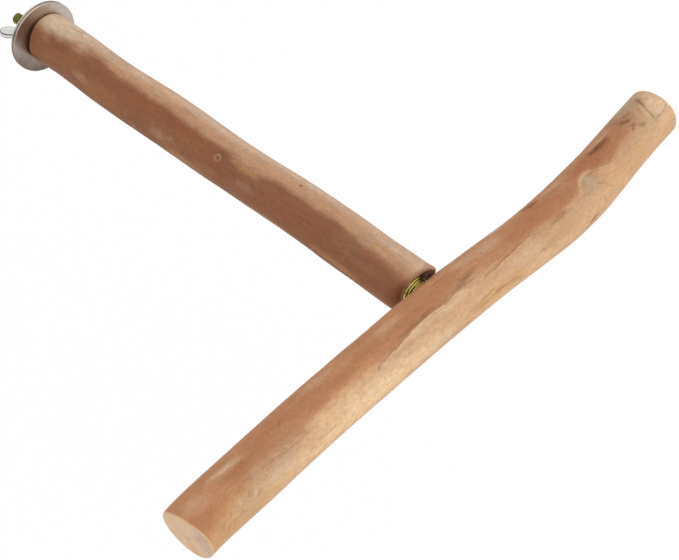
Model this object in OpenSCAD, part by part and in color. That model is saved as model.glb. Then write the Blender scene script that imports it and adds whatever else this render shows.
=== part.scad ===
// Bird perch: a branch stem that clamps to cage bars, with a branch crossbar screwed across its front end.
// Millimetres. The origin is the clamp plane between the two washers, on the bolt's axis. +X runs along the
// stem away from the cage, +Y runs along the crossbar and +Z is up.

/* [Stem] */
// Length of the stem between its two cut ends
stem_l = 251; // [160:1:400]
// Mean diameter of the stem
stem_d = 25.2; // [20:0.2:36]
// Radius worn on the stem's cut edges
stem_edge_r = 1.2; // [0.4:0.1:2.5]

/* [Crossbar] */
// Length of the crossbar between its two cut ends
bar_l = 297; // [160:1:420]
// Mean diameter of the crossbar
bar_d = 25.2; // [22:0.2:36]
// Place of the stem along the crossbar, as a share of its length from the -Y end
bar_joint_share = 0.496; // [0.4:0.002:0.6]
// Radius worn on the crossbar's cut edges
bar_edge_r = 0.9; // [0.4:0.1:2.5]

/* [Screw threads] */
// Crest diameter of both hanger bolts, M6
bolt_d = 6; // [5:0.5:8]
// Length of bolt that stands out behind the clamp plane
bolt_out = 22.5; // [20:0.5:30]
// Length of the cage bolt's wood thread inside the stem
cage_wood_l = 28; // [18:1:40]
// Length of the crossbar bolt's wood thread inside the crossbar
bar_wood_l = 15; // [10:0.5:16]
// Length of the crossbar bolt's machine thread inside the stem's insert
bar_machine_l = 14; // [10:0.5:20]

/* [Cage clamp] */
// Diameter of both clamp washers
washer_d = 38; // [30:1:50]
// Thickness of each clamp washer
washer_t = 1.2; // [0.8:0.1:2]
// Height of the wing nut's hub
hub_h = 8; // [6:0.5:9]
// Diameter of the hub where it bears on the washer
hub_base_d = 13; // [11:0.5:16]
// Diameter of the hub at its outer end
hub_top_d = 10.6; // [9:0.2:12]
// Width over both wings
wing_span = 32; // [26:1:40]
// Height of the wings above the washer
wing_h = 16; // [12:0.5:18]
// Thickness of a wing
wing_t = 2.4; // [1.6:0.1:3]
// Radius of a wing's round tip
wing_tip_r = 4.2; // [3:0.1:5]
// Angle at which one wing stands at rest, from the crossbar's +Y side upwards
wing_turn = 172; // [0:1:359]

/* [Crossbar joint] */
// Diameter of the threaded insert's flange on the stem's front end
flange_d = 14; // [12:0.5:18]
// Thickness of that flange
flange_t = 1; // [0.8:0.1:1.6]
// Diameter of the threaded insert's body in the stem
insert_d = 10; // [9:0.5:12]
// Length of the threaded insert's body in the stem
insert_l = 13; // [10:0.5:18]
// Diameter of the small washer between the insert and the lock nut
joint_washer_d = 12; // [10.6:0.2:14]
// Thickness of that washer
joint_washer_t = 0.8; // [0.6:0.1:1.6]
// Width over flats of the thin lock nut
lock_nut_w = 10; // [9:0.5:12]
// Thickness of the lock nut
lock_nut_t = 3.2; // [2.6:0.1:4]
// Depth of the flat seat that is cut in the crossbar for the lock nut
seat_depth = 2.6; // [1.8:0.1:3.4]

/* [Hidden] */
// Radial gap of a running fit between thread crests
thread_fit = 0.05;
// Radial gap between a bolt and the hole of a washer
washer_slip = 0.3;
// Gap between flat faces that turn against each other
face_gap = 0.05;
// Gap between the two clamp washers
clamp_gap = 0.1;
// Radial gap between a pressed-in or screwed-in piece and the wood round it
wood_fit = 0.02;
// Gap round the lock nut in its seat
seat_side_gap = 0.7;
// Gap round the insert's flange in the flat that is cut for it
flange_side_gap = 0.3;
// Hole left past the end of the crossbar bolt inside the stem
bolt_end_gap = 4;
// Radial gap round the crossbar bolt past the insert
bolt_side_gap = 0.3;
// Overrun of a cut past the face that it opens
overrun = 1;
// Length of the chamfer on a bolt's machine end
bolt_chamfer = 0.8;
// Length of the cone that ends a wood thread
point_l = 4;
// Height of a wing's foot above the washer
wing_foot = 0.4;
// Radius of a wing's foot, as a share of the hub's height
wing_root_share = 0.33;
// Width and depth of the undercut where the run-on nut's thread ends and the bolt's free thread begins
undercut_w = 0.7;
undercut_depth = 0.3;
// Gap between the wing nut and that undercut
undercut_gap = 0.1;

// Sides of a stick, largest spacing of its rings and steps round a worn edge
stick_sides = 36;
ring_step = 6;
edge_steps = 3;
// Sides of every turned piece, and of the round tips that shape a wing
$fn = 96;
wing_fn = 32;

// Stem, at even steps from the cage end: radius and sideways bow as shares of the mean radius
stem_radius_share = [1.014, 1.004, 0.998, 1.005, 1.028, 1.02, 0.996, 0.97, 0.988, 0.996, 1.01, 0.996, 0.998];
stem_side_share = [0.09, 0.1, 0.03, 0, 0.075, 0.09, 0.035, 0.04, 0.055, 0.11, 0.08, 0.045, 0.015];
stem_rise_share = [0, 0.02, 0.04, 0.02, -0.02, -0.03, 0, 0.03, 0.04, 0.02, 0, 0, 0];

// Crossbar, at even steps from its -Y end: radius, bow away from the cage and rise, as shares of the mean radius
bar_radius_share = [0.952, 0.974, 0.987, 0.984, 0.99, 1, 1.004, 1.01, 0.992, 0.98, 1.012, 1.046, 1, 0.974, 0.97];
bar_bow_share = [0.305, 0.16, 0.065, 0.012, -0.055, -0.01, -0.014, 0, 0.075, 0.2, 0.28, 0.27, 0.165, 0.04, 0.01];
bar_rise_share = [0.275, 0.14, 0.055, 0.008, 0, 0, 0, 0, 0, 0, 0, 0.03, 0.155, 0.39, 0.74];

// Slope of each end's saw cut, along the bow and along the rise
stem_front_cut_share = [-0.09, -0.04];
bar_low_cut_share = [-0.05, 0.085];
bar_high_cut_share = [-0.058, -0.022];
square_cut_share = [0, 0];
// Share of a stick's length over which a sloped cut fades out
cut_fade_share = 0.12;
// Out-of-round of every stick: its oval and its three soft flats
oval_share = 0.012;
three_flats_share = 0.008;
// Half turns that the oval makes along a stick
oval_twist_share = 0.6;
// Step along a stick, as a share of its length, over which its direction is taken
slope_share = 0.01;

// Radii
stem_r = stem_d / 2;
bar_r = bar_d / 2;
bolt_r = bolt_d / 2;
nut_bore_r = bolt_r + thread_fit;
washer_hole_r = bolt_r + washer_slip;

// Planes along X, from the cage to the crossbar
bolt_tip_x = -bolt_out;
outer_washer_x = -clamp_gap - washer_t;
nut_base_x = outer_washer_x - face_gap;
undercut_x = nut_base_x - hub_h - undercut_gap;
stem_back_x = washer_t;
stem_front_x = stem_back_x + stem_l;
joint_washer_x = stem_front_x + flange_t + face_gap;
lock_nut_x = joint_washer_x + joint_washer_t + face_gap;
seat_x = lock_nut_x + lock_nut_t;
bar_axis_x = seat_x - seat_depth + bar_r;
bar_low_y = -bar_l * bar_joint_share;

// Value at place u, 0 to 1, on the smooth curve through a table of evenly spaced shares
function smooth_at(table, u) =
    let (last = len(table) - 1,
         k = min(floor(u * last), last - 1),
         f = u * last - k,
         a = table[max(k - 1, 0)],
         b = table[k],
         c = table[k + 1],
         d = table[min(k + 2, last)])
    b + f * (c - a + f * (2 * a - 5 * b + 4 * c - d + f * (3 * (b - c) + d - a))) / 2;

// Rings along a stick of length l, each as its distance from the first cut and how far the worn edge draws it in
function ring_places(l, edge_r) =
    let (plain = l - 2 * edge_r,
         n = ceil(plain / ring_step),
         worn = [for (i = [0 : edge_steps - 1])
                 let (a = 90 * i / edge_steps)
                 [edge_r * (1 - cos(a)), edge_r * (1 - sin(a))]])
    concat(worn,
           [for (i = [0 : n]) [edge_r + plain * i / n, 0]],
           [for (i = [len(worn) - 1 : -1 : 0]) [l - worn[i][0], worn[i][1]]]);

// Radius of a stick's skin at place u and angle w, for a mean radius r
function skin_r(r, u, w) =
    r * (1 + oval_share * cos(2 * w + 180 * oval_twist_share * u) + three_flats_share * cos(3 * w - 90 * u));

// How much of a sloped cut is left at place u
function cut_left(u) = max(0, 1 - u / cut_fade_share);

// One ring round centre p, with the stick running along t, the unit side vectors e and f, and the cut's slopes
function ring(p, t, e, f, r, drawn_in, u, low_cut, high_cut) =
    [for (i = [0 : stick_sides - 1])
     let (w = 360 * i / stick_sides,
          q = skin_r(r, u, w) - drawn_in,
          x = q * cos(w),
          y = q * sin(w),
          low = cut_left(u) * (low_cut[0] * x + low_cut[1] * y),
          high = cut_left(1 - u) * (high_cut[0] * x + high_cut[1] * y))
     p + e * x + f * y - t * (low + high)];

// Mean of a list of points
function centre_of(points) = [for (p = points) 1] * points / len(points);

// A closed stick through rings of points: the two ends are fans, the side is pairs of triangles
module stick(rings) {
    n = len(rings);
    points = concat([for (r = rings) each r], [centre_of(rings[0]), centre_of(rings[n - 1])]);
    side = [for (k = [0 : n - 2])
            for (i = [0 : stick_sides - 1])
            let (j = (i + 1) % stick_sides,
                 a = k * stick_sides,
                 b = a + stick_sides)
            each [[a + i, a + j, b + i], [a + j, b + j, b + i]]];
    first = [for (i = [0 : stick_sides - 1]) [(i + 1) % stick_sides, i, n * stick_sides]];
    last_ring = (n - 1) * stick_sides;
    last = [for (i = [0 : stick_sides - 1])
            [last_ring + i, last_ring + (i + 1) % stick_sides, n * stick_sides + 1]];
    polyhedron(points = points, faces = concat(side, first, last), convexity = 4);
}

// Turned piece from its outline, given as [place along +X, radius] points
module turned(outline) {
    rotate([0, 90, 0]) rotate_extrude() polygon([for (p = outline) [p[1], p[0]]]);
}

// Straight round hole or rod along +X
module rod(x, l, r) {
    translate([x, 0, 0]) rotate([0, 90, 0]) cylinder(r = r, h = l);
}

// Round plate along +X with a round hole
module ring_plate(x, t, outer_r, hole_r) {
    difference() {
        rod(x, t, outer_r);
        rod(x - overrun, t + 2 * overrun, hole_r);
    }
}

// Rings of the stem, which runs straight along +X with a slight bow
function stem_rings() =
    [for (place = ring_places(stem_l, stem_edge_r))
     let (u = place[0] / stem_l)
     ring([stem_back_x + place[0], stem_r * smooth_at(stem_side_share, u), stem_r * smooth_at(stem_rise_share, u)],
          [1, 0, 0], [0, 1, 0], [0, 0, 1], stem_r * smooth_at(stem_radius_share, u), place[1], u,
          square_cut_share, stem_front_cut_share)];

module stem() {
    color("peru") difference() {
        stick(stem_rings());
        // pilot hole of the cage bolt
        turned([[stem_back_x - overrun, 0],
                [stem_back_x - overrun, bolt_r + wood_fit],
                [stem_back_x + cage_wood_l - point_l, bolt_r + wood_fit],
                [stem_back_x + cage_wood_l + wood_fit, 0]]);
        // flat of the insert's flange in the sloped front cut
        rod(stem_front_x, stem_r, flange_d / 2 + flange_side_gap);
        // hole of the threaded insert, and room past it for the crossbar's bolt
        rod(stem_front_x - insert_l - wood_fit, insert_l + wood_fit + overrun, insert_d / 2 + wood_fit);
        rod(stem_front_x + flange_t - bar_machine_l - bolt_end_gap, bar_machine_l + bolt_end_gap,
            bolt_r + bolt_side_gap);
    }
}

// Centre of the crossbar at place u, and its unit direction there
function bar_centre(u) =
    [bar_axis_x + bar_r * smooth_at(bar_bow_share, u), bar_low_y + bar_l * u, bar_r * smooth_at(bar_rise_share, u)];
function bar_direction(u) =
    let (a = max(0, u - slope_share),
         b = min(1, u + slope_share),
         d = bar_centre(b) - bar_centre(a))
    d / norm(d);

// Rings of the crossbar, square to its own bend
function bar_rings() =
    [for (place = ring_places(bar_l, bar_edge_r))
     let (u = place[0] / bar_l,
          t = bar_direction(u),
          side = cross(t, [0, 0, 1]),
          e = side / norm(side))
     ring(bar_centre(u), t, e, cross(e, t), bar_r * smooth_at(bar_radius_share, u), place[1], u,
          bar_low_cut_share, bar_high_cut_share)];

module crossbar() {
    color("burlywood") difference() {
        stick(bar_rings());
        // flat seat of the lock nut, open towards the stem
        rod(seat_x - seat_depth - overrun, seat_depth + overrun, lock_nut_w / sqrt(3) + seat_side_gap);
        // pilot hole of the crossbar bolt
        turned([[seat_x - overrun, 0],
                [seat_x - overrun, bolt_r + wood_fit],
                [seat_x + bar_wood_l - point_l, bolt_r + wood_fit],
                [seat_x + bar_wood_l + wood_fit, 0]]);
    }
}

// Hanger bolt in the stem's back end: machine thread with an undercut at the wing nut, then the wood thread
module cage_bolt() {
    groove_r = bolt_r - undercut_depth;
    color("darkkhaki") turned([[bolt_tip_x, 0],
                               [bolt_tip_x, bolt_r - bolt_chamfer],
                               [bolt_tip_x + bolt_chamfer, bolt_r],
                               [undercut_x - undercut_w, bolt_r],
                               [undercut_x - undercut_w, groove_r],
                               [undercut_x, groove_r],
                               [undercut_x, bolt_r],
                               [stem_back_x + cage_wood_l - point_l, bolt_r],
                               [stem_back_x + cage_wood_l, 0]]);
}

module inner_washer() {
    color("gainsboro") ring_plate(0, washer_t, washer_d / 2, washer_hole_r);
}

module outer_washer() {
    color("gainsboro") ring_plate(outer_washer_x, washer_t, washer_d / 2, washer_hole_r);
}

// One wing, drawn with the nut's base at zero and its height along +Z
module wing() {
    tip_x = wing_span / 2 - wing_tip_r;
    tip_z = wing_h - wing_tip_r;
    root_r = hub_h * wing_root_share;
    rotate([90, 0, 0]) hull() {
        translate([tip_x, tip_z, -wing_t / 2]) cylinder(r = wing_tip_r, h = wing_t, $fn = wing_fn);
        translate([nut_bore_r + root_r / 2, root_r + wing_foot, -wing_t / 2])
            cylinder(r = root_r, h = wing_t, $fn = wing_fn);
    }
}

module wing_nut() {
    color("lightgray") translate([nut_base_x, 0, 0]) rotate([0, -90, 0]) rotate([0, 0, 90 - wing_turn])
        difference() {
            union() {
                cylinder(r1 = hub_base_d / 2, r2 = hub_top_d / 2, h = hub_h);
                wing();
                mirror([1, 0, 0]) wing();
            }
            translate([0, 0, -overrun]) cylinder(r = nut_bore_r, h = hub_h + wing_h + overrun);
        }
}

// Flanged threaded insert pressed into the stem's front end
module stem_insert() {
    color("goldenrod") difference() {
        turned([[stem_front_x - insert_l, 0],
                [stem_front_x - insert_l, insert_d / 2],
                [stem_front_x, insert_d / 2],
                [stem_front_x, flange_d / 2],
                [stem_front_x + flange_t, flange_d / 2],
                [stem_front_x + flange_t, 0]]);
        rod(stem_front_x - insert_l - overrun, insert_l + flange_t + 2 * overrun, nut_bore_r);
    }
}

// Hanger bolt in the crossbar: machine thread towards the stem, wood thread in the crossbar
module crossbar_bolt() {
    end_x = stem_front_x + flange_t - bar_machine_l;
    color("darkkhaki") turned([[end_x, 0],
                               [end_x, bolt_r - bolt_chamfer],
                               [end_x + bolt_chamfer, bolt_r],
                               [seat_x + bar_wood_l - point_l, bolt_r],
                               [seat_x + bar_wood_l, 0]]);
}

module joint_washer() {
    color("goldenrod") ring_plate(joint_washer_x, joint_washer_t, joint_washer_d / 2, washer_hole_r);
}

// Thin hexagon nut, run tight against the crossbar's seat
module lock_nut() {
    color("goldenrod") difference() {
        translate([lock_nut_x, 0, 0]) rotate([0, 90, 0]) cylinder(r = lock_nut_w / sqrt(3), h = lock_nut_t, $fn = 6);
        rod(lock_nut_x - overrun, lock_nut_t + 2 * overrun, bolt_r + wood_fit);
    }
}

stem();
crossbar();
cage_bolt();
inner_washer();
outer_washer();
wing_nut();
stem_insert();
crossbar_bolt();
joint_washer();
lock_nut();
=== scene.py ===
"""Looks of the bird perch: two debarked branches, the cage clamp and the screwed joint between them."""

import math

import bmesh
import bpy
import numpy as np
from bpy.props import FloatProperty, FloatVectorProperty, PointerProperty
from mathutils import Matrix, Vector, noise
from mathutils.bvhtree import BVHTree


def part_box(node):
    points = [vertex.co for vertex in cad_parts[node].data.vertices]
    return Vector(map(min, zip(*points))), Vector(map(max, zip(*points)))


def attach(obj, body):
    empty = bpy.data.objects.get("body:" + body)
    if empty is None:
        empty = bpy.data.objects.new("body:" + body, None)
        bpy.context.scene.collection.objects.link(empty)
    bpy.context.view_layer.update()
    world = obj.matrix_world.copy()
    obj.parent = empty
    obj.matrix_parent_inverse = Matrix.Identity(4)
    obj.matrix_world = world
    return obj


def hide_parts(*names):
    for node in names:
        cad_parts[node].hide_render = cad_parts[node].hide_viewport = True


bl_info = {
    "name": "Bird perch",
    "version": (1, 0, 0),
    "blender": (4, 5, 0),
    "location": "3D View > Sidebar > Perch",
    "description": "Two debarked branches with their cage clamp and screwed joint",
    "category": "Object",
}

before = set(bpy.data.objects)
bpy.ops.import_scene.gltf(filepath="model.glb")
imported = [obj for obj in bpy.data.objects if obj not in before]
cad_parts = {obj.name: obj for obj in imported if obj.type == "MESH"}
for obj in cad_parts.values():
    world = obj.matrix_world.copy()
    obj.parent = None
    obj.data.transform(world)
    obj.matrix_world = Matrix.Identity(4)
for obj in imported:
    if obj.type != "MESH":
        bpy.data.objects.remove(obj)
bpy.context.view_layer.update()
MM = 0.001
UP = np.array((0.0, 0.0, 1.0))


def srgb(red, green, blue):
    """Linear colour of screen values from 0 to 255."""
    return tuple(((v / 255 + 0.055) / 1.055) ** 2.4 if v > 10 else v / 255 / 12.92 for v in (red, green, blue))


def colour(label, description, red, green, blue):
    return FloatVectorProperty(name=label, description=description, subtype="COLOR", size=3, min=0, max=1,
                               default=srgb(red, green, blue))


def length(label, description, mm):
    return FloatProperty(name=label, description=description, default=mm * MM, min=0, unit="LENGTH", precision=5)


def power(label, description, watts):
    return FloatProperty(name=label, description=description, default=watts, min=0, unit="POWER")


# Settings that a user would change

class PerchWoodSettings(bpy.types.PropertyGroup):
    stem_brown: colour("Stem brown", "Weathered side of the stem", 137, 87, 59)
    stem_tan: colour("Stem tan", "Other side of the stem, next to the brown", 178, 136, 104)
    stem_pale: colour("Stem pale", "Other side of the stem, farthest from the brown", 196, 160, 134)
    bar_brown: colour("Crossbar brown", "Weathered side of the crossbar", 180, 127, 90)
    bar_tan: colour("Crossbar tan", "Other side of the crossbar, next to the brown", 190, 147, 111)
    bar_pale: colour("Crossbar pale", "Other side of the crossbar, farthest from the brown", 199, 160, 122)
    end_grain: colour("Crossbar end", "Cut ends of the crossbar", 228, 192, 156)
    # The second cut's darker, greyer colour is painted shade of a face turned away from the light
    facet_in_shade: colour("Second cut", "Slanting second cut on the crossbar's end", 212, 182, 162)
    # Painted shade: the stem's cut ends sit in narrow gaps, by the washer and the crossbar, so they are coloured dark
    stem_end_shade: colour("Stem end", "Stained cut ends of the stem", 84, 50, 34)
    end_ring: colour("Growth rings", "Late wood of the rings on the cut ends", 178, 138, 98)
    cream: colour("Cream", "Palest worn and weathered patches", 214, 194, 168)
    rust: colour("Rust", "Reddish stains", 146, 82, 52)
    ochre: colour("Ochre", "Golden patches", 188, 142, 94)
    moss: colour("Grey brown", "Scars of old bark", 172, 149, 121)
    straw: colour("Straw", "Lightest yellowish wood", 226, 191, 148)
    bark: colour("Bark", "Dark knots, cracks and bark left in hollows", 104, 62, 40)
    split: colour("Splits", "Fine splits and torn fibres", 128, 88, 56)
    relief: length("Relief", "Height of the uneven skin", 0.16)
    grain: length("Grain", "Depth of the grain lines", 0.06)
    ring_gap: length("Ring gap", "Width of a year's growth ring on a cut end", 1.15)
    edge: length("Worn edge", "Mean radius worn on the crossbar's cut edges", 0.8)
    front_edge: length("Front edge", "Depth worn off the stem's front edge", 3.4)
    front_wrap: length("Front wrap", "How far the worn front edge and its skin reach inwards", 4.8)
    front_lip: length("Front lip", "How far the stem's front stands out where its edge stayed sharp", 1.5)


class PerchMetalSettings(bpy.types.PropertyGroup):
    yellow_zinc: colour("Yellow zinc", "Plating of the bolts, the insert and the nut", 218, 206, 134)
    bright_zinc: colour("Bright zinc", "Plating of the clamp washers", 194, 181, 172)
    # Colour of the painted reflection of shade on the washers' lower parts
    zinc_in_reflected_shade: colour("Dull zinc", "Washer plating where it has dulled", 110, 91, 78)
    bright_nickel: colour("Bright nickel", "Plating of the wing nut", 226, 225, 222)
    # Colour of the dark flecks, and also of the painted shade and painted dark reflections on the metal parts
    grime: colour("Grime", "Dark film in corners and threads", 40, 44, 24)
    pitch: length("Thread pitch", "Pitch of the M6 threads", 1.0)
    thread_depth: length("Thread depth", "Height of a thread over its root", 0.55)
    round_over: length("Washer edge", "Radius of a stamped washer's edges", 0.3)
    nut_round: length("Wing nut voxels", "Fineness of the cast wing nut's blended shape", 0.2)


class PerchStageSettings(bpy.types.PropertyGroup):
    focal: FloatProperty(name="Focal length", description="Lens for a 36 mm wide sensor", default=74.23,
                         min=10, unit="CAMERA")
    floor_drop: length("Floor drop", "Height of the origin over the floor", 220)
    key: power("Key lamp", "Power of the large lamp at the right", 4.5)
    top: power("Top lamp", "Power of the wide lamp overhead", 4.5)
    card: FloatProperty(name="Dark card", description="Brightness of the dark card that the metal reflects",
                        default=0.3, min=0, max=1, subtype="FACTOR")
    sky: FloatProperty(name="Surround", description="Strength of the white surround", default=0.82, min=0)


# What the photograph shows on each branch, placed one by one: millimetres along it from its first cut, and degrees
# round it from its side direction upwards

# Where the tan side ends: place, angle of its upper limit, half width of the change in millimetres
STEM_TAN_LIMIT = (
    (0, 112, 3.4), (12, 113, 3.4), (25, 109, 3.4), (33, 105, 3.4), (42, 100, 3.4), (50, 96, 3.4), (58, 97, 3.4),
    (65, 102, 2.6), (90, 103, 2.6), (115, 104, 2.6), (127, 108, 2.6), (140, 107, 2.6), (152, 107, 2.6),
    (165, 104, 2.6), (190, 101, 2.6), (212, 101, 2.6), (226, 107, 2.6), (240, 111, 3), (251, 124, 3),
)
BAR_TAN_LIMIT = (
    (0, 22, 3), (12, 34, 3), (22, 52, 3), (30, 64, 3), (45, 62, 4), (60, 57, 4), (90, 60, 4), (104, 56, 1),
    (119, 64, 1), (134, 68, 1), (150, 68, 1), (163, 74, 2), (178, 66, 2), (193, 69, 2), (208, 63, 2), (223, 66, 2),
    (233, 78, 2), (239, 90, 2.4), (246, 79, 2.8), (256, 70, 3.4), (266, 71, 3.6), (273, 79, 3.6), (280, 95, 3.4),
    (287, 118, 3.4), (297, 150, 4),
)
# Angle where the tan side ends below
STEM_TAN_FOOT = -48
BAR_TAN_FOOT = -72

# Patches of each colour: place, angle, half length, half width, strength and, where there is one, the tilt in
# degrees towards a greater angle
KINDS = ("straw", "cream", "rust", "ochre", "moss", "split", "bark")
STEM_PATCHES = {
    "cream": (
        (14, 78, 26, 8, 0.62, -6), (3, 76, 14, 9, 0.55), (40, 62, 26, 3.5, 0.35, 6), (128, 62, 40, 3, 0.3),
        (180, 58, 26, 2.5, 0.35), (236, 70, 13, 3, 0.25), (77, 166, 1.3, 1.6, 0.12, 20),
        (109, 152, 1.3, 1.6, 0.12, 40), (82, 186, 1.6, 0.5, 0.3, 24), (44, 156, 6, 2.4, 0.14),
        # (250.6, 66) is painted light: it lightens the front bevel where the crossbar shades it
        (100, 166, 8, 2.4, 0.14), (158, 150, 7, 2, 0.12), (70, 66, 9, 2.4, 0.3), (250.6, 66, 1.2, 3.5, 0.3),
    ),
    "rust": (
        (28, 140, 16, 3.4, 0.3), (78, 126, 26, 3.4, 0.42), (62, 112, 14, 2.2, 0.32), (116, 122, 18, 3, 0.4),
        (137, 142, 14, 3, 0.25), (132, 112, 8, 1.8, 0.3), (186, 128, 14, 3, 0.22), (235, 116, 12, 2.6, 0.42),
        (20, 122, 9, 2.2, 0.25), (60, 158, 9, 2.6, 0.3), (196, 146, 9, 2.4, 0.28), (46, 94, 6, 1.8, 0.22),
        (250, 150, 3, 7, 0.2), (248, 118, 4, 5, 0.3), (5, 118, 4, 4, 0.35), (190, 240, 26, 4, 0.3),
    ),
    "ochre": (
        (231, 96, 3, 1, 0.8, -14), (236, 88, 3.2, 0.9, 0.8, 24), (228, 86, 2, 0.7, 0.6, 10),
        (154, 117, 9, 1.8, 0.5, 3), (102, 99, 14, 1.8, 0.35), (86, 88, 6, 1.8, 0.5, 18), (120, 186, 16, 2.4, 0.4),
        (12, 128, 5, 1.4, 0.25, 12), (55, 92, 9, 1.6, 0.35, 8), (120, 88, 12, 1.6, 0.3), (204, 84, 12, 2, 0.3),
        (134, 168, 8, 2.4, 0.2), (216, 180, 16, 2.2, 0.45), (170, 196, 20, 1.6, 0.35), (205, 20, 18, 3, 0.35),
    ),
    "moss": (
        (22, 61, 6, 0.9, 0.75, -22), (15, 72, 3.5, 0.7, 0.5, -10), (33, 78, 8, 0.9, 0.4, 4),
        (18, 84, 5, 1.3, 0.3, 24), (86, 84, 4, 1.6, 0.45, 24), (72, 76, 3, 1.2, 0.35, 30),
        (226, 92, 3.4, 1.2, 0.4, 20), (50, 82, 8, 2.2, 0.3), (60, 300, 14, 3.4, 0.4, 4), (150, 10, 12, 2.4, 0.3, -6),
    ),
    "bark": (
        (48.4, 143, 1.3, 0.9, 0.45, 10), (50.6, 148, 0.9, 0.7, 0.35), (180.7, 78, 1.05, 0.95, 0.75),
        (88, 95, 2.4, 0.5, 0.3, 24), (84, 90, 1.6, 0.5, 0.3, 50), (133, 184, 1.4, 0.5, 0.4, 30),
        (72, 160, 2.6, 0.6, 0.2, 52), (98, 178, 1.6, 0.5, 0.35, 24), (66, 186, 1.2, 0.4, 0.35, 30),
        (219, 136, 1, 0.6, 0.3), (99, 141, 1.4, 0.5, 0.25, 60), (34, 158, 1.2, 0.5, 0.25, 20),
        (212, 150, 1.2, 0.5, 0.25, 35), (197, 86, 0.8, 0.5, 0.3), (207, 74, 0.9, 0.6, 0.35),
        # (251.6, 34) is painted shade on the stem's front, next to the crossbar
        (146, 74, 1, 0.5, 0.3, 20), (112, 70, 0.9, 0.5, 0.3), (251.6, 34, 1.4, 6, 0.5), (120, 262, 3.2, 2, 0.5, 10),
    ),
}
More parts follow.
